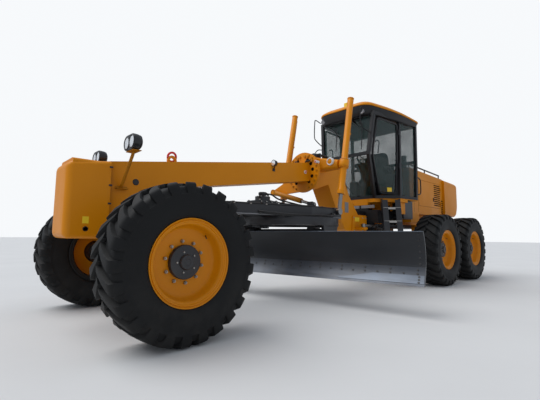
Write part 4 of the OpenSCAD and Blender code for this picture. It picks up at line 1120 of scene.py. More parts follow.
@dataclass
class FrontLamps:
    """Two pairs of round lamps, each in a black housing on a stalk that stands out from the beam."""

    x: float = 0.203
    y: float = 0.480
    z: float = 1.760
    radius: float = 0.072
    pitch: float = 0.060

    def build(self, shop: Workshop) -> None:
        """Builds housings, bezels, lenses and stalks; a housing's outline is two half circles joined by lines.

        Args:
            shop: The workshop.
        """
        housing, glass, bowl, stalk = Shape(), Shape(), Shape(), Shape()
        t = np.linspace(-np.pi / 2, np.pi / 2, 13)
        right = np.stack([self.pitch + self.radius * np.cos(t), self.radius * np.sin(t)], 1)
        outline = np.concatenate([right, -right])
        rows = [(-0.050, 0.45), (-0.046, 0.72), (-0.030, 0.94), (0.000, 1.02), (0.040, 1.04), (0.047, 1.03),
                (0.047, 0.94)]
        rings = np.stack([np.column_stack([np.full(len(outline), self.x + a), self.y + k * outline[:, 0],
                                           self.z + k * outline[:, 1]]) for a, k in rows])
        housing.closed(rings)
        for s in (-1, 1):
            c = (self.x, self.y + s * self.pitch, self.z)
            housing.lathe([(0.044, 0.054), (0.052, 0.055), (0.054, 0.059), (0.051, 0.066), (0.044, 0.067)], c, Axis.X,
                          32,
                          loop=True)
            glass.lathe([(0.0475, 0.055), (0.052, 0.040), (0.055, 0.020), (0.056, 0.0)], c, Axis.X, 32)
            bowl.lathe([(0.0472, 0.053), (0.0474, 0.030), (0.0478, 0.0)], c, Axis.X, 24)
        stalk.tube(np.array([[0.190, 0.160, 1.362], [0.190, 0.200, 1.395], [0.196, 0.440, 1.650],
                             [0.200, 0.475, 1.690]]),
                   0.016, 10)
        stalk.box((0.160, 0.395, 1.676), (0.245, 0.565, 1.684))
        stalk.box((0.125, 0.1505, 1.345), (0.240, 0.162, 1.375))
        stalk.box((0.125, 0.150, 1.345), (0.240, 0.200, 1.352))
        for shape in (housing, glass, bowl, stalk):
            shape.both()
        shop.piece("lamp_housings", housing, "lamp", "front", ("headlamps",), smooth=45)
        shop.piece("lamp_bowls", bowl, "reflector", "front")
        shop.piece("lamp_lenses", glass, "lens", "front")
        shop.piece("lamp_stalks", stalk, "axle", "front", bevel=0.002)


@dataclass
class BeamFittings:
    """What stands on the beam: the ring in its lug, the ports and a work lamp on each side."""

    eye_x: float = -0.442
    top_z: float = 1.662
    slope: float = 0.1476

    def top(self, x: float) -> float:
        """Height of the beam's top at x: top_z - slope * x."""
        return self.top_z - self.slope * x

    def build(self, shop: Workshop) -> None:
        """Builds the fittings; the ring is a circle about a point over its lug, leaned by a little.

        Args:
            shop: The workshop.
        """
        z = self.top(self.eye_x)
        ring = Shape()
        t = np.linspace(0, 2 * np.pi, 33)
        path = np.stack([self.eye_x + 0.052 * np.cos(t), 0.012 * np.sin(t), z + 0.078 + 0.052 * np.sin(t)], 1)
        ring.tube(path, 0.013, 10)
        shop.piece("lifting_ring", ring, "red", "front")
        port = Shape()
        port.lathe([(0.150, 0.0), (0.150, 0.030), (0.153, 0.034), (0.156, 0.028), (0.152, 0.024), (0.152, 0.0)],
                   (0.035, 0, 1.435), Axis.Y, 24)
        port.both()
        shop.piece("beam_ports", port, "lamp", "front")
        lamp, glass = Shape(), Shape()
        c = (-1.955, 0.185, 1.935)
        lamp.lathe([(-0.045, 0.0), (-0.045, 0.020), (-0.030, 0.038), (0.010, 0.046), (0.022, 0.048), (0.026, 0.044),
                    (0.024, 0.038)], c, Axis.X, 24)
        lamp.rod((-1.975, 0.150, 1.84), (-1.965, 0.185, 1.895), 0.008, 8)
        lamp.box((-2.000, 0.148, 1.822), (-1.950, 0.156, 1.862))
        glass.lathe([(0.024, 0.040), (0.028, 0.020), (0.029, 0.0)], c, Axis.X, 24)
        shop.piece("work_lamp", lamp.both(), "lamp", "front", smooth=45)
        shop.piece("work_lamp_glass", glass.both(), "reflector", "front")


@dataclass
class Saddle:
    """What stands on the saddle plate and on the side of the gooseneck behind it."""

    face_x: float = -2.780
    centre_z: float = 1.930
    bolt_ring: float = 0.296
    # The upper row of large bolts, and the holes that the lock pin can enter, by angle
    large_ring: float = 0.262
    large_bolts: tuple = (40.0, 66.0, 78.0, 102.0, 114.0)
    lock_ring: float = 0.215
    lock_holes: tuple = (62.0, 35.0, 8.0, -22.0, -50.0, 118.0, 145.0, 172.0, 202.0, 230.0)
    # The lock pin's place in Y and Z, and the eye in front of the lift cylinder's arm
    pin: tuple[float, float] = (0.312, 2.062)
    eye: tuple[float, float, float] = (-2.951, 0.430, 2.078)
    neck_half: float = 0.180

    def on_plate(self, radius: float, degrees: Array) -> Array:
        """Points of a circle on the plate's front face: (y, z) = centre + radius * (cos t, sin t)."""
        t = np.radians(degrees)
        return np.stack([np.full(len(t), self.face_x), radius * np.cos(t), self.centre_z + radius * np.sin(t)], 1)

    def build(self, shop: Workshop) -> None:
        """Builds the plate's bolts, lock holes and pins, the ring eye, and the plates on the neck.

        Args:
            shop: The workshop.
        """
        around = np.concatenate([np.arange(-62, 63, 15.5), np.arange(118, 243, 15.5)])
        bolts = Shape()
        bolts.bolts(self.on_plate(self.bolt_ring, around), (1, 0, 0), 0.017, 0.016)
        bolts.bolts(self.on_plate(self.large_ring, np.array(self.large_bolts)), (1, 0, 0), 0.024, 0.022)
        shop.piece("saddle_bolts", bolts, "axle", "front", smooth=20)
        # Each lock hole is a dark disc of painted shade on the plate
        holes = Shape()
        for _, y, z in self.on_plate(self.lock_ring, np.array(self.lock_holes)):
            holes.lathe([(0.0, 0.0), (0.001, 0.020), (0.005, 0.026), (0.001, 0.029), (-0.002, 0.029)],
                        (self.face_x, y, z), Axis.X, 24)
        shop.piece("saddle_holes", holes, "hole_shade_and_seams", "front")
        lock = Shape()
        y, z = self.pin
        lock.rod((self.face_x - 0.03, y, z), (self.face_x + 0.055, y, z), 0.021)
        lock.rod((-2.668, 0.146, 1.902), (-2.668, 0.166, 1.902), 0.026)
        shop.piece("lock_pin_ends", lock, "white", "front", bevel=0.003)
        tips = Shape()
        tips.lathe([(0.055, 0.0), (0.060, 0.006), (0.060, 0.012), (0.055, 0.014)], (self.face_x, y, z), Axis.X, 20)
        tips.lathe([(0.166, 0.0), (0.170, 0.008), (0.170, 0.014), (0.166, 0.016)], (-2.668, 0.0, 1.902), Axis.Y, 20)
        tips.rod((self.face_x + 0.02, y, 2.090), (self.face_x + 0.02, y, 2.035), 0.009)
        shop.piece("lock_pin_tips", tips, "red", "front")
        eye, core = Shape(), Shape()
        eye.lathe([(-0.030, 0.042), (0.012, 0.042), (0.018, 0.047), (0.018, 0.057), (0.012, 0.063), (-0.030, 0.063)],
                  self.eye, Axis.X, 32, loop=True)
        core.lathe([(-0.030, 0.0), (-0.030, 0.043), (0.006, 0.043), (0.012, 0.034), (0.016, 0.012), (0.016, 0.0)],
                   self.eye, Axis.X, 32)
        shop.piece("arm_eye", eye.both(), "white", "front")
        shop.piece("arm_eye_core", core.both(), "paint", "front")
        side = self.neck_half
        plate = Shape()
        plate.box((-3.815, side - 0.002, 1.315), (-3.705, side + 0.004, 1.500))
        shop.piece("neck_plate", plate.both(), "grey", "front", bevel=0.003)
        label = Shape()
        label.box((-4.130, side + 0.019, 1.165), (-3.990, side + 0.0225, 1.240))
        shop.piece("neck_label", label.both(), "label", "front", bevel=0.001)
        foot = Shape()
        outline = [(-4.385, 0.960), (-3.905, 0.960), (-3.930, 1.270), (-4.385, 1.270)]
        foot.slab(outline, side - 0.002, side + 0.020, Axis.Y)
        shop.piece("neck_foot_plate", foot.both(), "paint", "front", bevel=0.004)
        studs = Shape()
        places = [(x, side + 0.020, z) for x in (-4.35, -4.24, -3.96) for z in (0.995, 1.235)]
        studs.bolts(places, (0, 1, 0), 0.013, 0.012)
        shop.piece("neck_studs", studs.both(), "bolt", "front", smooth=20)
        hoses = Shape()
        for k, y in enumerate((0.165, 0.130, 0.095, -0.110, -0.150)):
            hoses.tube(smooth_path([(-2.74, y, 2.085), (-2.95, y, 2.23 + 0.012 * k), (-3.30, y, 2.225),
                                    (-3.56, y, 2.12),
                                    (-3.80, y, 1.74)], 8), 0.013)
        shop.piece("neck_hoses", hoses, "hose", "front")
        clips = Shape()
        for x, z in ((-3.02, 2.212), (-3.36, 2.200)):
            clips.box((x - 0.015, -0.180, z - 0.030), (x + 0.015, 0.185, z + 0.052))
        shop.piece("hose_clips", clips, "graphite", "front", bevel=0.004)


@dataclass
class LiftFittings:
    """Clamp, gland and pipe of a lift cylinder, which leans back from its trunnion."""

    origin: tuple[float, float, float] = (-3.060, 0.620, 2.030)
    lean: float = -10.6
    radius: float = 0.050

    def build(self, shop: Workshop) -> None:
        """Builds the fittings of both cylinders, upright about their own axis and then leaned.

        Args:
            shop: The workshop.
        """
        turn = spin(Axis.Y, self.lean)
        for side, key in ((1, "l"), (-1, "r")):
            origin = (self.origin[0], side * self.origin[1], self.origin[2])
            clamp = Shape()
            for z in (-0.068, 0.054):
                clamp.lathe([(z, self.radius), (z, 0.070), (z + 0.003, 0.074), (z + 0.011, 0.074), (z + 0.014, 0.070),
                             (z + 0.014, self.radius)], (0, 0, 0), Axis.Z, 40, loop=True)
            clamp.lathe([(1.128, 0.0), (1.128, 0.053), (1.133, 0.055), (1.142, 0.055), (1.146, 0.051), (1.146, 0.0)],
                        (0, 0, 0), Axis.Z, 40)
            clamp.lathe([(-0.500, 0.031), (-0.500, 0.056), (-0.495, 0.061), (-0.440, 0.062), (-0.436, 0.058),
                         (-0.436, self.radius)], (0, 0, 0), Axis.Z, 40)
            shop.piece("lift_collars_" + key, clamp.move(turn, origin), "paint", "lift_barrel_" + key)
            heads = Shape()
            t = np.radians(np.arange(0, 360, 45.0))
            ring = np.stack([0.063 * np.cos(t), 0.063 * np.sin(t), np.full(8, 0.068)], 1)
            heads.bolts(ring, (0, 0, 1), 0.0085, 0.009)
            shop.piece("lift_bolts_" + key, heads.move(turn, origin), "bolt", "lift_barrel_" + key, smooth=20)
            pipe = Shape()
            pipe.tube(smooth_path([(-0.075, 0, 0.02), (-0.078, 0, 0.12), (-0.066, 0, 0.24), (-0.066, 0, 1.00),
                                   (-0.062, 0, 1.06), (-0.046, 0, 1.085)], 6), 0.010)
            pipe.box((-0.080, -0.016, 0.52), (-0.048, 0.016, 0.55))
            shop.piece("lift_pipe_" + key, pipe.move(turn, origin), "paint", "lift_barrel_" + key)


@dataclass
class DrawbarFittings:
    """The circle drive's motor and bolts, hoses and the clips that hold them on the drawbar."""

    top: float = 1.300
    motor_x: float = -1.900

    def build(self, shop: Workshop) -> None:
        """Builds the fittings; the hoses run along the drawbar's left and right arm.

        Args:
            shop: The workshop.
        """
        heads = Shape()
        t = np.radians(np.arange(0, 360, 36.0))
        heads.bolts(np.stack([self.motor_x + 0.095 * np.cos(t), 0.095 * np.sin(t), np.full(10, 1.449)], 1), (0, 0, 1),
                    0.011, 0.012)
        lid = [(x, y, 1.389) for x in (-2.06, -1.74) for y in (-0.12, 0.12)]
        heads.bolts(lid, (0, 0, 1), 0.014, 0.014)
        side = [(x, 0.140, z) for x in (-2.05, -1.95, -1.85, -1.75) for z in (1.325, 1.370)]
        heads.bolts(side, (0, 1, 0), 0.011, 0.011)
        arm = [(-0.75 - 0.22 * k, 0.135 + 0.0612 * k, 1.299) for k in range(5)]
        heads.bolts(arm, (0, 0, 1), 0.013, 0.012)
        shop.piece("drive_bolts", heads, "bolt", "drawbar", smooth=20)
        motor = Shape()
        motor.lathe([(1.448, 0.0), (1.448, 0.070), (1.458, 0.072), (1.461, 0.058), (1.480, 0.056), (1.484, 0.062),
                     (1.512, 0.062), (1.520, 0.052), (1.522, 0.0)], (self.motor_x, 0, 0), Axis.Z, 32)
        motor.box((-1.965, -0.040, 1.480), (-1.890, 0.040, 1.512))
        shop.piece("circle_motor", motor, "graphite", "drawbar", bevel=0.003)
        hoses = Shape()
        for y in (-0.022, 0.022):
            hoses.tube(smooth_path([(-1.960, y, 1.496), (-2.05, y * 2, 1.490), (-2.16, y * 5, 1.42),
                                    (-2.34, 0.40 + y, 1.325),
                                    (-2.60, 0.480 + y, 1.318), (-3.00, 0.490 + y, 1.318)], 8), 0.012)
        for s in (-1, 1):
            hoses.tube(smooth_path([(-0.80, s * 0.085, 1.314), (-1.30, s * 0.215, 1.314), (-1.80, s * 0.360, 1.314),
                                    (-2.25, s * 0.530, 1.314), (-2.80, s * 0.530, 1.314), (-3.00, s * 0.520, 1.314)],
                                    8), 0.013)
        for k in range(3):
            y, z = 0.022 * k, -0.020 * (k % 2)
            hoses.tube(smooth_path([(-1.52, 0.345, 1.215 + z), (-1.60, 0.400 + y, 1.200 + z),
                                    (-1.95, 0.545 + y, 1.178 + z),
                                    (-2.30, 0.655 + y, 1.182 + z), (-2.60, 0.655 + y, 1.188 + z),
                                    (-2.74, 0.625 + y, 1.205 + z),
                                    (-2.78, 0.580, 1.235 + z)], 8), 0.011)
        shop.piece("drawbar_hoses", hoses, "hose", "drawbar")
        edge = Shape()
        for s in (-1, 1):
            edge.tube(np.array([(-0.72, s * 0.118, 1.172), (-1.84, s * 0.431, 1.172), (-2.29, s * 0.603, 1.172),
                                (-3.00, s * 0.589, 1.172)]), 0.008, 8)
        shop.piece("drawbar_pipes", edge, "grey", "drawbar")
        clips = Shape()
        for x, y in ((-1.20, 0.190), (-1.62, 0.312), (-2.60, 0.505), (-2.90, 0.505)):
            clips.box((x - 0.016, y - 0.045, self.top - 0.002), (x + 0.016, y + 0.045, self.top + 0.030))
        shop.piece("drawbar_clips", clips.both(), "graphite", "drawbar", bevel=0.004)
        block = Shape()
        block.box((-2.630, 0.100, 1.299), (-2.490, 0.200, 1.345))
        block.box((-2.630, -0.200, 1.299), (-2.490, -0.110, 1.340))
        shop.piece("drawbar_blocks", block, "graphite", "drawbar", bevel=0.006)


@dataclass
class BladeFittings:
    """Bolts of the cutting edge, its worn ends, and the bolts down the blade's ends."""

    circle_x: float = -2.450
    turn: float = 10.8
    offset: float = -0.0225
    half: float = 2.075
    curve_x: float = 0.818
    curve_z: float = 0.658
    face_r: float = 0.500
    edge_r: float = 0.4807
    pitch: float = 0.152

    def face(self, along: Array, z: Array, radius: float) -> Array:
        """Points of the blade's hollow side: x = curve_x - sqrt(r^2 - (z - curve_z)^2), in the blade's own frame."""
        x = self.curve_x - np.sqrt(radius**2 - (z - self.curve_z) ** 2)
        return np.stack(np.broadcast_arrays(x, along + self.offset, z), -1)

    def outward(self, z: float, radius: float) -> tuple[float, float, float]:
        """The way out of the hollow side at a height."""
        up = (self.curve_z - z) / radius
        return (math.sqrt(1 - up * up), 0.0, up)

    def build(self, shop: Workshop) -> None:
        """Builds the bolts and the worn ends in the blade's frame and turns them with it.

        Args:
            shop: The workshop.
        """
        turn = spin(Axis.Z, self.turn)
        origin = (self.circle_x, 0, 0)
        heads = Shape()
        count = round(2 * (self.half - 0.08) / self.pitch)
        along = np.linspace(-self.half + 0.08, self.half - 0.08, count + 1)
        for z in (0.478, 0.520):
            places = self.face(along[:: 1 if z < 0.5 else 2], np.array(z), self.edge_r)
            heads.bolts(places, self.outward(z, self.edge_r), 0.013, 0.006)
        for end in (-1, 1):
            for z in np.arange(0.585, 0.93, 0.068):
                heads.bolts(self.face(np.array([end * (self.half - 0.060)]), np.array(z), self.face_r),
                            self.outward(z, self.face_r), 0.014, 0.007)
            for z in (0.385, 0.415, 0.445):
                heads.bolts(self.face(np.array([end * (self.half - 0.060)]), np.array(z), self.edge_r),
                            self.outward(z, self.edge_r), 0.013, 0.010)
        shop.piece("edge_bolts", heads.move(turn, origin), "graphite", "blade", smooth=25)
        top = Shape()
        along = np.linspace(-self.half + 0.003, self.half - 0.003, 30)
        top.tube(self.face(along, np.array(0.9545), self.face_r) - [0.004, 0, 0], 0.0045, 8)
        shop.piece("blade_lip", top.move(turn, origin), "worn_edge", "blade")
        worn = Shape()
        along = np.linspace(self.half - 1.02, self.half - 0.004, 22)
        share = np.linspace(0, 1, 9)[:, None]
        high = 0.378 + 0.082 * np.clip((along - along[0]) / 0.42, 0.08, 1)[None]
        worn.sheet(self.face(along[None], 0.374 + (high - 0.374) * share, self.edge_r - 0.001), -0.004)
        worn.sheet(self.face(-along[None], 0.374 + (high - 0.374) * share, self.edge_r - 0.001), 0.004)
        shop.piece("worn_ends", worn.move(turn, origin), "worn_edge", "blade")


@dataclass
class Cab:
    """The cab's doors, roof, brackets, wipers and what stands inside it."""

    # Height, then X and Y of the front, middle and rear corner, from the floor up
    levels: tuple = (
        (1.650, (-4.535, 0.289), (-4.850, 0.640), (-5.370, 0.720)),
        (2.390, (-3.990, 0.500), (-4.850, 0.650), (-5.370, 0.735)),
        (3.130, (-4.060, 0.575), (-4.850, 0.655), (-5.370, 0.740)),
    )
    door_in: float = 0.074
    door_front_in: float = 0.096
    outward: tuple[float, float, float] = (0.17, 0.98, 0.0)
    hinge: tuple[float, float] = (-4.790, 0.678)
    # Corners of the roof's lip: X, Y and reach of the rounding
    lip: tuple = ((-3.872, 0.535, 0.20), (-4.700, 0.772, 0.40), (-5.468, 0.805, 0.12))
    roof_middle: float = -4.670
    # Share of the lip's outline and height, from the hollow inside over the lip to the crown
    shell_rings: tuple = (
        (0.0, 3.330), (0.45, 3.322), (0.80, 3.270), (0.95, 3.205), (0.955, 3.182), (0.998, 3.182), (1.003, 3.192),
        (1.0, 3.206), (0.985, 3.222), (0.94, 3.250), (0.86, 3.290), (0.74, 3.333), (0.58, 3.367), (0.38, 3.388),
        (0.18, 3.396), (0.0, 3.398),
    )
    tray_rings: tuple = (
        (0.955, 3.181), (0.985, 3.181), (0.984, 3.160), (0.974, 3.136), (0.955, 3.114), (0.925, 3.099), (0.880, 3.092),
        (0.800, 3.092), (0.795, 3.110), (0.930, 3.150),
    )
    rise: float = 0.085
    rise_from: float = 3.092
    rise_full: float = 3.181
    floor_z: float = 1.662
    seat_x: float = -5.000

    def door_edge(self, rear: bool) -> Array:
        """The three corners of one upright edge of the left door, from its sill up.

        Args:
            rear: Whether it is the rear edge.

        Returns:
            Three points.
        """
        found = []
        for (z, front, middle, _), lift in zip(self.levels, (self.door_in, 0.0, -self.door_in)):
            f, m = np.array([*front, z]), np.array([*middle, z])
            v = (m - f) / np.linalg.norm(m - f)
            found.append((m - v * self.door_in if rear else f + v * self.door_front_in) + [0, 0, lift])
        return np.array(found)

    def door_surface(self, along: Array, up: Array) -> Array:
        """Points of the left door: up runs over its corners from 0 to 2, and along goes straight from front to rear.

        Args:
            along: Shares from the front edge to the rear.
            up: Places from 0 at the sill to 2 at the top.

        Returns:
            Ups times alongs times 3 numbers.
        """
        front, rear = (np.stack([np.interp(up, range(3), edge[:, k]) for k in range(3)], -1)
                       for edge in (self.door_edge(False), self.door_edge(True)))
        return front[:, None] * (1 - along)[None, :, None] + rear[:, None] * along[None, :, None]

    def doors(self, shop: Workshop) -> None:
        """Builds each door: a frame round a tinted pane, with its hinges, handle and label.

        Args:
            shop: The workshop.
        """
        frame, pane, label, grip = Shape(), Shape(), Shape(), Shape()
        corners_up = np.concatenate([self.door_edge(False), self.door_edge(True)[::-1]])
        frame.rail(arc_corners(corners_up, [0.07, 0.12, 0.06, 0.06, 0.02, 0.07]), self.outward, 0.034, 0.040)
        x, y = self.hinge
        for z in (2.230, 2.880):
            frame.rod((x, y, z), (x, y, z + 0.070), 0.012, 20)
            frame.box((x - 0.008, y - 0.043, z + 0.001), (x + 0.008, y, z + 0.069))
        pane.sheet(self.door_surface(np.linspace(0.01, 0.99, 7), np.linspace(0.03, 1.97, 17)), 0.006)
        lift = np.array(self.outward) * 0.009
        label.sheet(self.door_surface(np.linspace(0.47, 0.74, 3), np.linspace(0.04, 0.155, 3)) + lift, 0.0015)
        handle = self.door_surface(np.array([0.90]), np.array([0.93, 1.02, 1.11]))[:,
                                                                                   0] + np.array(self.outward) * 0.045
        frame.tube(smooth_path([handle[0] - lift * 3.5, handle[0], handle[1], handle[2], handle[2] - lift * 3.5], 5),
                   0.010)
        inner = self.door_surface(np.array([0.10, 0.22, 0.30]), np.array([1.36, 1.41, 1.37, 1.20, 1.06]))
        route = [inner[0, 0], inner[1, 1], inner[2, 2], inner[3, 2], inner[4, 2]]
        grip.tube(smooth_path([p - lift * 5 for p in route], 6), 0.011)
        parts = (("frame", frame, "cab_black"), ("pane", pane, "glass"), ("label", label, "label"),
                 ("grip", grip, "grey"))
        for side, key in ((1, "l"), (-1, "r")):
            for part, shape, finish in parts:
                stands_for = ("cab_door_" + key,) if shape is frame else ()
                shop.piece(f"door_{part}_{key}", shape if side > 0 else shape.mirrored(), finish, "door_" + key,
                           stands_for)

    def rings(self, table: tuple) -> Array:
        """Rings of the roof, one for each share and height of a table.

        A ring is middle + share * (outline - middle), and it is raised by rise * (x - rear) / (front - rear), fully
        from the height rise_full up and not at all below rise_from.

        Args:
            table: Share of the lip's outline and height, for each ring.

        Returns:
            Rings times points times three coordinates.
        """
        x, y, reach = np.array(self.lip).T
        points = np.concatenate([np.stack([x, y], 1), np.stack([x, -y], 1)[::-1]])
        middle = np.array([self.roof_middle, 0.0])
        outline = arc_corners(points, np.concatenate([reach, reach[::-1]]), 7) - middle
        share, height = (np.array(v)[:, None] for v in zip(*table))
        flat = middle + share[..., None] * outline[None]
        ahead = (flat[..., 0] - x[-1]) / (x[0] - x[-1])
        part = np.clip((height - self.rise_from) / (self.rise_full - self.rise_from), 0, 1)
        return np.concatenate([flat, (height + self.rise * ahead * part)[..., None]], 2)

    def roof(self, shop: Workshop) -> None:
        """Builds the domed roof, the dark tray under its lip, the lining and the small lamp on its front.

        Args:
            shop: The workshop.
        """
        shell = Shape()
        shell.grid(self.rings(self.shell_rings), wrap_cols=True)
        shop.piece("roof_shell", shell, "paint", "rear", ("cab_roof",), smooth=50)
        tray = Shape()
        tray.grid(self.rings(self.tray_rings), wrap_rows=True, wrap_cols=True)
        shop.piece("roof_tray", tray, "cab_black", "rear", smooth=50)
        lining = Shape()
        ring = self.rings(((0.81, 3.0),))[0]
        lining.slab(ring[:, :2], 3.097, 3.106, Axis.Z)
        shop.piece("roof_lining", lining, "lining", "rear")
        lamp = Shape()
        lamp.box((-4.000, 0.035, 3.290), (-3.920, 0.105, 3.415))
        shop.piece("roof_lamp", lamp, "label", "rear", bevel=0.012)
        lights = Shape()
        for y in (-0.46, 0.42):
            lights.lathe([(-0.040, 0.0), (-0.040, 0.030), (-0.010, 0.048), (0.012, 0.050), (0.016, 0.044),
                          (0.012, 0.0)],
                         (-3.930, y, 3.160), Axis.X, 28)
        shop.piece("roof_lights", lights, "grey", "rear")

    def screen(self, y: float, z: float, out: float) -> tuple[float, float, float]:
        """A point a little in front of the upper windscreen, whose x is -3.99 - 0.0946 * (z - 2.39)."""
        return (-3.990 - 0.0946 * (z - 2.390) + out, y, z)

    def fittings(self, shop: Workshop) -> None:
        """Builds the mirror brackets, wipers and the small arms on the cab's front.

        Args:
            shop: The workshop.
        """
        arms = Shape()
        paths = [
            [(-3.930, -0.530, 3.150), (-3.820, -0.568, 3.195), (-3.800, -0.576, 3.130), (-3.800, -0.584, 2.860),
             (-3.850, -0.584, 2.790), (-4.010, -0.578, 2.710)],
            [(-3.930, 0.500, 3.150), (-3.820, 0.472, 3.195), (-3.800, 0.468, 3.130), (-3.800, 0.464, 2.920),
             (-3.880, 0.480, 2.820), (-4.020, 0.560, 2.740)],
            [(-4.010, -0.545, 2.620), (-3.995, -0.650, 2.635), (-3.985, -0.715, 2.590)],
            [self.screen(-0.494, 3.085, 0.05), self.screen(-0.320, 2.985, 0.05), self.screen(-0.190, 2.865, 0.05),
             self.screen(-0.170, 2.720, 0.045)],
        ]
        for path in paths:
            arms.tube(smooth_path(path, 7), 0.0095)
        shop.piece("mirror_arms", arms, "cab_black", "rear")
        wipers = Shape()
        for shift in (0.0, 0.034):
            wipers.rod(self.screen(0.141 + shift, 3.070 + shift, 0.055),
                       self.screen(0.352 + shift, 2.850 + shift, 0.050),
                       0.006, 8)
        for low, high, y in ((2.470, 2.960, 0.362), (2.520, 2.960, -0.200)):
            z = np.linspace(low, high, 12)
            blade = np.array([self.screen(y + 0.01 * math.sin(3 * v), v, 0.034) for v in z])
            wipers.tube(blade, 0.008, 8)
        wipers.box((-4.060, 0.110, 3.045), (-3.985, 0.175, 3.095))
        wipers.rod((-4.225, 0.302, 2.068), (-4.478, 0.141, 1.728), 0.007, 8)
        wipers.rod((-4.225, -0.302, 2.068), (-4.478, -0.141, 1.728), 0.007, 8)
        shop.piece("wipers", wipers, "cab_black", "rear", bevel=0.001)

    def inside(self, shop: Workshop) -> None:
        """Builds the seat, the console with its wheel and levers, and the side consoles.

        Args:
            shop: The workshop.
        """
        x, z = self.seat_x, self.floor_z
        base = Shape()
        base.slab(rounded(0.09, 0.0, 0.16, 0.02)[:, ::-1] + [x - 0.12, 0], z, z + 0.10, Axis.Z)
        fold = np.linspace(0, 1, 41)
        base.lathe([(z + 0.10 + 0.17 * s, 0.125 + 0.012 * math.sin(2 * np.pi * 5 * s)) for s in fold],
                   (x - 0.04, 0, 0), Axis.Z, 40)
        for side in (-1, 1):
            base.tube(smooth_path([(x - 0.24, side * 0.27, z + 0.36), (x - 0.20, side * 0.285, z + 0.60),
                                   (x - 0.05, side * 0.285, z + 0.635), (x + 0.12, side * 0.285, z + 0.620)], 6), 0.030,
                                   12)
        shop.piece("seat_base", base, "plastic", "rear", ("cab_interior",))
        soft = Shape()
        soft.pad((x + 0.01, 0, z + 0.345), (0.245, 0.235, 0.072), -3, (-0.45, 0.45))
        cushion = shop.piece("seat_cushion", soft, "seat", "rear", smooth=80)
        back = Shape()
        back.pad((x - 0.245, 0, z + 0.70), (0.300, 0.220, 0.060), 98, (-0.45, 0.45))
        rest = shop.piece("seat_back", back, "seat", "rear", smooth=80)
        console = Shape()
        cx = -4.685
        foot = [(cx - 0.050, z), (cx + 0.070, z), (cx + 0.040, z + 0.30), (cx + 0.110, z + 0.62),
                (cx + 0.090, z + 0.69),
                (cx - 0.070, z + 0.64), (cx - 0.030, z + 0.35)]
        console.slab(foot, -0.060, 0.060, Axis.Y)
        console.slab([(cx - 0.060, z + 0.600), (cx + 0.100, z + 0.640), (cx + 0.095, z + 0.705),
                      (cx - 0.050, z + 0.655)],
                     -0.185, 0.185, Axis.Y)
        for y in np.linspace(-0.165, 0.165, 10):
            if abs(y) > 0.03:
                console.rod((cx - 0.01, y, z + 0.66), (cx - 0.055, y * 1.05, z + 0.80), 0.007, 8)
                console.lathe([(0.0, 0.0), (0.006, 0.011), (0.020, 0.014), (0.032, 0.009), (0.036, 0.0)],
                              (cx - 0.055, y * 1.05, z + 0.795), Axis.Z, 12)
        shop.piece("console", console, "plastic", "rear", bevel=0.004)
        wheel = Shape()
        t = np.linspace(0, 2 * np.pi, 49)
        wheel.tube(np.stack([0.195 * np.cos(t), 0.195 * np.sin(t), 0 * t], 1), 0.013, 10)
        for a in (90, 210, 330):
            c, s = math.cos(math.radians(a)), math.sin(math.radians(a))
            wheel.rod((0.03 * c, 0.03 * s, -0.02), (0.19 * c, 0.19 * s, 0.0), 0.009, 8)
        wheel.lathe([(-0.10, 0.020), (-0.04, 0.028), (-0.02, 0.045), (0.0, 0.045), (0.008, 0.036), (0.010, 0.0)],
                    (0, 0, 0), Axis.Z, 28)
        shop.piece("steering_wheel", wheel.move(spin(Axis.Y, -28), (cx - 0.075, 0, z + 0.80)), "plastic", "rear")
        sides = Shape()
        sides.box((x - 0.26, 0.34, z), (x + 0.14, 0.52, z + 0.46))
        sides.box((x - 0.30, -0.52, z), (x + 0.10, -0.34, z + 0.40))
        shop.piece("side_consoles", sides, "plastic", "rear", bevel=0.02)

    def build(self, shop: Workshop) -> None:
        """Builds the whole cab.

        Args:
            shop: The workshop.
        """
        self.doors(shop)
        self.roof(shop)
        self.fittings(shop)
        self.inside(shop)


@dataclass
class Steps:
    """Toothed treads on the rungs of each ladder, and the plates under the cab."""

    middle: tuple[float, float] = (-4.6925, 0.4645)
    turn: float = -48.09
    top: float = 1.6017
    low: float = 0.620
    treads: tuple = (0.680, 0.930, 1.180, 1.430)
    # The ladder's ends along the sill, and where each side plate ends
    cheek_spans: tuple = ((-0.200, -0.100), (0.032, 0.132))

    def reach(self, z: float) -> float:
        """How far a rung's inner edge stands out from the sill at a height."""
        return 0.0243 + 0.240 * (self.top - z) / (self.top - self.low)

    def build(self, shop: Workshop) -> None:
        """Builds the treads in the ladder's frame, X along the sill and Y outwards, and turns them to it.

        Args:
            shop: The workshop.
        """
        teeth, edges = Shape(), Shape()
        for z in self.treads:
            y = self.reach(z - 0.03)
            for k, x in enumerate(np.linspace(-0.170, 0.100, 10)):
                out = y + 0.040 + 0.035 * (k % 2)
                teeth.box((x - 0.010, out, z - 0.001), (x + 0.010, out + 0.030, z + 0.012))
            edges.box((-0.196, y + 0.112, z - 0.030), (0.120, y + 0.124, z + 0.006))
        place = (*self.middle, 0)
        turn = spin(Axis.Z, self.turn)
        shop.piece("tread_teeth", teeth.move(turn, place).both(), "bolt", "rear")
        shop.piece("tread_edges", edges.move(turn, place).both(), "bolt", "rear", bevel=0.002)
        cheeks = Shape()
        z = np.linspace(0.625, 1.580, 9)[:, None]
        for low, high in self.cheek_spans:
            x = np.linspace(low, high, 4)[None]
            out = self.reach(z) + 0.131 + 0 * x
            cheeks.sheet(np.stack(np.broadcast_arrays(x, out, z), -1), -0.006)
        shop.piece("ladder_cheeks", cheeks.move(turn, place).both(), "black", "rear")
        plate = Shape()
        plate.box((-4.500, 0.020, 1.438), (-4.484, 0.310, 1.495))
        shop.piece("sill_plate", plate.both(), "grey", "rear", bevel=0.003)


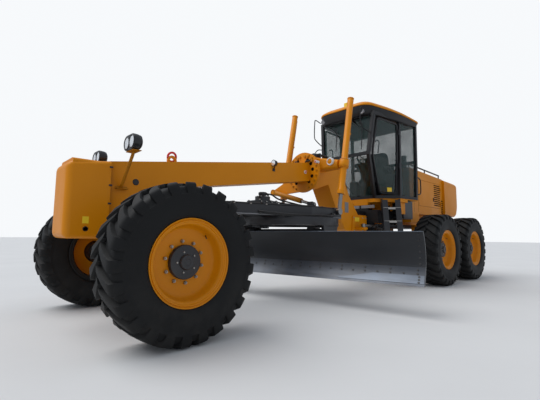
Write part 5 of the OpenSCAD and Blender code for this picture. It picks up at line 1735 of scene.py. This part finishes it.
@dataclass
class Hood:
    """Louvre slots darkened with painted shade, latches and dark seams of the hood, and the guard with its grille at
    the rear.
    """

    half: float = 0.550
    low: float = 1.610
    step: float = 0.046
    count: int = 11
    # X, half width, lowest, highest and corner radius of each ring of the guard, ending in its grille's pocket
    guard_rings: tuple = (
        (-7.2003, 0.600, 1.4003, 2.260, 0.060), (-7.50, 0.600, 1.4003, 2.250, 0.060),
        (-7.86, 0.600, 1.4003, 2.236, 0.060),
        (-7.915, 0.600, 1.430, 2.232, 0.060), (-7.975, 0.598, 1.540, 2.222, 0.060),
        (-8.015, 0.592, 1.620, 2.200, 0.055),
        (-8.040, 0.582, 1.680, 2.170, 0.050), (-8.050, 0.570, 1.705, 2.145, 0.045),
        (-8.050, 0.548, 1.740, 2.110, 0.030),
        (-8.044, 0.543, 1.745, 2.105, 0.026), (-7.990, 0.543, 1.745, 2.105, 0.026),
    )
    slat_turn: float = 32.0

    def louvres(self, shop: Workshop) -> None:
        """Builds the slots in each door and the shorter row behind it, and the latch of the door.

        Args:
            shop: The workshop.
        """
        for side, key in ((1, "l"), (-1, "r")):
            slots, latch = Shape(), Shape()
            # Each slot is a dark box of painted shade behind the door's opening
            for k in range(self.count):
                z = self.low + k * self.step
                slots.box((-7.039, self.half - 0.0088, z + 0.001), (-6.701, self.half - 0.0005, z + 0.023))
            latch.box((-6.672, self.half - 0.001, 1.700), (-6.640, self.half + 0.010, 1.790))
            latch.box((-6.664, self.half + 0.009, 1.725), (-6.648, self.half + 0.020, 1.780))
            if side < 0:
                slots, latch = slots.mirrored(), latch.mirrored()
            shop.piece("louvre_slots_" + key, slots, "hole_shade_and_seams", "hood_door_" + key)
            shop.piece("hood_latch_" + key, latch, "black", "hood_door_" + key, bevel=0.004)
        # Dark strips of painted shade stand for the rear slots
        rear = Shape()
        for k in range(7):
            z = 1.455 + k * 0.046
            rear.box((-7.192, self.half - 0.001, z), (-7.092, self.half + 0.0020, z + 0.026))
        shop.piece("rear_slots", rear.both(), "hole_shade_and_seams", "rear", bevel=0.001)
        seams = Shape()
        for x in (-5.660, -5.868):
            seams.box((x - 0.0025, self.half - 0.001, 1.420), (x + 0.0025, self.half + 0.0008, 2.280))
        shop.piece("hood_seams", seams.both(), "hole_shade_and_seams", "rear")
        grips = Shape()
        grips.tube(smooth_path([(-5.755, self.half - 0.005, 2.140), (-5.765, 0.598, 2.140), (-5.860, 0.602, 2.110),
                                (-5.885, 0.602, 2.040), (-5.885, 0.602, 1.880), (-5.860, 0.602, 1.805),
                                (-5.765, 0.598, 1.780), (-5.755, self.half - 0.005, 1.780)], 5), 0.012)
        shop.piece("hood_grips", grips.both(), "cab_black", "rear")
        caps = Shape()
        caps.lathe([(2.284, 0.0), (2.284, 0.062), (2.296, 0.068), (2.318, 0.068), (2.326, 0.060), (2.328, 0.0)],
                   (-6.780, 0.250, 0.0), Axis.Z, 32)
        caps.lathe([(2.30, 0.0), (2.30, 0.046), (2.335, 0.050), (2.350, 0.042), (2.352, 0.0)],
                   (-5.640, -0.300, 0.0), Axis.Z, 28)
        shop.piece("filler_caps", caps, "black", "rear")

    def guard(self, shop: Workshop) -> None:
        """Builds the guard from round-cornered rings along X, ending in the pocket of its grille, and the slats in it.

        Args:
            shop: The workshop.
        """
        rings = []
        for x, half, low, high, radius in self.guard_rings:
            ring = rounded(half, low, high, radius, 6)
            rings.append(np.column_stack([np.full(len(ring), x), ring]))
        shell = Shape()
        shell.closed(np.stack(rings))
        shop.piece("guard_shell", shell, "paint", "rear", ("radiator_guard",), smooth=40)
        core = Shape()
        core.box((-7.996, -0.541, 1.747), (-7.984, 0.541, 2.103))
        shop.piece("radiator_core", core, "mesh", "rear", bevel=0.002)
        slats = Shape()
        for z in np.arange(1.782, 2.09, 0.044):
            one = Shape()
            one.box((-0.022, -0.5445, -0.004), (0.022, 0.5445, 0.004))
            slats.join(one.move(spin(Axis.Y, self.slat_turn), (-8.020, 0, z)))
        for y in (-0.27, 0.0, 0.27):
            slats.box((-8.046, y - 0.008, 1.744), (-8.034, y + 0.008, 2.106))
        shop.piece("guard_slats", slats, "paint", "rear", bevel=0.0015)
        lamps, red, amber = Shape(), Shape(), Shape()
        for y, lens in ((0.360, red), (0.255, amber)):
            lamps.lathe([(-0.001, 0.0), (-0.001, 0.048), (-0.020, 0.050), (-0.026, 0.046), (-0.026, 0.040),
                         (-0.018, 0.0)],
                        (-7.930, y, 1.300), Axis.X, 32)
            lens.lathe([(-0.019, 0.0405), (-0.028, 0.036), (-0.034, 0.020), (-0.036, 0.0)], (-7.930, y, 1.300), Axis.X,
                       32)
        shop.piece("tail_housings", lamps.both(), "lamp", "rear")
        shop.piece("tail_lenses", red.both(), "tail_red", "rear")
        shop.piece("turn_lenses", amber.both(), "amber", "rear")

    def build(self, shop: Workshop) -> None:
        """Builds the hood's and the guard's pieces."""
        self.louvres(shop)
        self.guard(shop)


@dataclass
class TandemCovers:
    """Bolted covers on the cases that carry the rear wheels."""

    middle: float = -6.219
    side: float = 0.810
    gap: float = 1.540
    wheel_z: float = 0.665
    bolt_ring: float = 0.122

    def build(self, shop: Workshop) -> None:
        """Builds a cover between the wheels and a bolted ring at each wheel's spindle.

        Args:
            shop: The workshop.
        """
        cover, heads = Shape(), Shape()
        outline = rounded(0.230, 0.550, 0.770, 0.05, 6) + [self.middle, 0]
        cover.slab(outline, self.side - 0.002, self.side + 0.010, Axis.Y)
        places = [(self.middle + x, self.side + 0.010, z) for x in np.linspace(-0.2, 0.2, 5) for z in (0.572, 0.748)]
        heads.bolts(places, (0, 1, 0), 0.011, 0.010)
        for s in (-1, 1):
            x = self.middle + s * self.gap / 2
            cover.lathe([(self.side - 0.002, 0.058), (self.side - 0.002, 0.150), (self.side + 0.012, 0.150),
                         (self.side + 0.018, 0.142), (self.side + 0.018, 0.058)], (x, 0, self.wheel_z), Axis.Y, 48,
                         loop=True)
            t = np.arange(12) * np.pi / 6
            across, up = self.bolt_ring * np.cos(t), self.bolt_ring * np.sin(t)
            heads.bolts(np.stack([x + across, np.full(12, self.side + 0.018), self.wheel_z + up], 1), (0, 1, 0),
                        0.011, 0.010)
        shop.piece("case_covers", cover.both(), "axle", "rear", bevel=0.002)
        shop.piece("case_bolts", heads.both(), "bolt", "rear", smooth=20)


@dataclass
class AxleFittings:
    """Kingpin caps and hoses of the front axle."""

    kingpin_y: float = 0.930

    def build(self, shop: Workshop) -> None:
        """Builds the caps on the lean carriers and the hoses from the beam down to the axle.

        Args:
            shop: The workshop.
        """
        for side, key in ((1, "l"), (-1, "r")):
            cap = Shape()
            cap.lathe([(0.830, 0.0), (0.832, 0.050), (0.842, 0.052), (0.846, 0.046), (0.848, 0.0)],
                      (0, side * self.kingpin_y, 0), Axis.Z, 32)
            cap.bolts([(0.035 * c, side * self.kingpin_y + 0.035 * s, 0.846) for c,
                       s in ((1, 0), (0, 1), (-1, 0), (0, -1))],
                      (0, 0, 1), 0.007, 0.007)
            shop.piece("kingpin_cap_" + key, cap, "graphite", "lean_" + key)
        hoses = Shape()
        for y, x in ((0.06, 0.19), (-0.06, 0.20)):
            hoses.tube(smooth_path([(x, y, 0.955), (x + 0.03, y * 1.4, 0.88), (0.205, -0.20 + y, 0.80),
                                    (0.165, -0.30 + y * 0.5, 0.785)], 7), 0.010)
        shop.piece("axle_hoses", hoses, "hose", "front")


def dress_frame(shop: Workshop) -> None:
    """Gives every node that stays its finish, with rounded edges where its faces let them.

    Args:
        shop: The workshop.
    """
    plain = {
        "front_frame": ("paint", 0.006), "front_axle": ("axle", 0.005), "lean_bar": ("axle", 0.003),
        "tie_rod": ("black", 0.002), "lean_carrier_l": ("axle", 0.004), "lean_carrier_r": ("axle", 0.004),
        "knuckle_l": ("graphite", 0.003), "knuckle_r": ("graphite", 0.003),
        "lift_barrel_l": ("paint", 0.003), "lift_barrel_r": ("paint", 0.003),
        "lift_rod_l": ("chrome", 0.0), "lift_rod_r": ("chrome", 0.0), "drawbar": ("graphite", 0.005),
        "shift_barrel": ("axle", 0.003), "shift_rod": ("chrome", 0.0), "circle": ("graphite", 0.004),
        "blade_carriage": ("graphite", 0.004), "moldboard": ("blade", 0.0), "cutting_edge": ("edge", 0.0),
        "tip_barrel": ("graphite", 0.002), "tip_rod": ("chrome", 0.0),
        "hinge_barrel_l": ("black", 0.003), "hinge_barrel_r": ("black", 0.003),
        "hinge_rod_l": ("chrome", 0.0), "hinge_rod_r": ("chrome", 0.0), "rear_frame": ("undercab_shade", 0.004),
        "tandem_axle": ("axle", 0.008), "engine_block": ("iron", 0.01), "hood": ("paint", 0.012),
        "hood_door_l": ("paint", 0.006), "hood_door_r": ("paint", 0.006),
        "exhaust": ("black", 0.004), "cab_frame": ("cab_black", 0.006), "cab_glass": ("glass", 0.0),
        "steps_and_rails": ("black", 0.003),
    }
    for node, (finish, bevel) in plain.items():
        shop.dress(node, finish, bevel)


# Stage


@dataclass
class Studio:
    """The camera of the photograph, the pale floor and the soft light."""

    place: tuple[float, float, float] = (1.50183, 3.77051, 0.88903)
    yaw: float = -133.28526
    pitch: float = 5.83522
    roll: float = 0.59808
    focal_px: float = 349.549
    width_px: float = 540.0

    def camera(self) -> None:
        """Places the camera: its axes are forward F(yaw, pitch), right F x Z and up, turned by the roll."""
        yaw, pitch, roll = (math.radians(v) for v in (self.yaw, self.pitch, self.roll))
        forward = np.array([math.cos(pitch) * math.cos(yaw), math.cos(pitch) * math.sin(yaw), math.sin(pitch)])
        right = np.cross(forward, [0, 0, 1.0])
        right /= np.linalg.norm(right)
        up = np.cross(right, forward)
        right, up = (math.cos(roll) * right + math.sin(roll) * up, -math.sin(roll) * right + math.cos(roll) * up)
        data = bpy.data.cameras.new("camera")
        data.sensor_width = 36.0
        data.lens = 36.0 * self.focal_px / self.width_px
        data.clip_end = 400.0
        made = bpy.data.objects.new("camera", data)
        bpy.context.scene.collection.objects.link(made)
        turn = np.eye(4)
        turn[:3, 0], turn[:3, 1], turn[:3, 2] = right, up, -forward
        turn[:3, 3] = np.array(self.place) + [FRONT_AXLE_X, 0, 0]
        made.matrix_world = Matrix(turn.tolist())
        bpy.context.scene.camera = made

    def floor(self) -> None:
        """Lays a pale floor with a faint grain."""
        mesh = bpy.data.meshes.new("floor")
        r, steps = 90.0, 64
        t = np.linspace(0, 2 * np.pi, steps, endpoint=False)
        mesh.from_pydata(np.stack([r * np.cos(t), r * np.sin(t), 0 * t], 1).tolist(), [], [list(range(steps))])
        made = bpy.data.objects.new("floor", mesh)
        bpy.context.scene.collection.objects.link(made)
        coat = bpy.data.materials.new("pale_floor")
        coat.use_nodes = True
        n = Nodes(coat.node_tree)
        shader = coat.node_tree.nodes["Principled BSDF"]
        n.feed(shader.inputs["Base Color"], n.mix(n.noise(0.8, 4), (0.60, 0.60, 0.60, 1), (0.68, 0.68, 0.675, 1)))
        shader.inputs["Roughness"].default_value = 0.8
        mesh.materials.append(coat)

    def light(self) -> None:
        """Sets an even pale sky and one large soft lamp from above and behind the camera's left."""
        world = bpy.data.worlds.new("sky")
        bpy.context.scene.world = world
        world.use_nodes = True
        n = Nodes(world.node_tree)
        back = world.node_tree.nodes["Background"]
        path = n.add("LightPath")
        seen = n.math("MAXIMUM", path.outputs["Is Camera Ray"], path.outputs["Is Transmission Ray"])
        n.feed(back.inputs["Color"], n.mix(seen, (0.80, 0.86, 0.95, 1), (0.93, 0.95, 0.97, 1)))
        n.feed(back.inputs["Strength"], n.span(seen, 0, 1, 0.60, 1.0))
        lamp = bpy.data.lights.new("soft_sun", "SUN")
        lamp.energy = 2.0
        lamp.angle = math.radians(50)
        made = bpy.data.objects.new("soft_sun", lamp)
        bpy.context.scene.collection.objects.link(made)
        made.rotation_euler = (math.radians(28), math.radians(18), math.radians(20))

    def build(self) -> None:
        """Builds the whole stage."""
        self.camera()
        self.floor()
        self.light()
        bpy.context.scene.view_settings.view_transform = "Standard"


def main() -> None:
    """Builds the stage and dresses the machine, sub-assembly by sub-assembly."""
    logging.basicConfig(level=logging.INFO, format="%(name)s %(message)s")
    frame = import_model()
    Studio().build()
    shop = Workshop(frame)
    dress_frame(shop)
    for row in Row:
        for side in (1, -1):
            Wheel(row, side).build(shop)
    Nose().build(shop)
    FrontLamps().build(shop)
    for fittings in (BeamFittings, Saddle, LiftFittings, DrawbarFittings, BladeFittings, Cab, Steps, Hood,
                     TandemCovers, AxleFittings):
        fittings().build(shop)


if __name__ == "__main__":
    main()
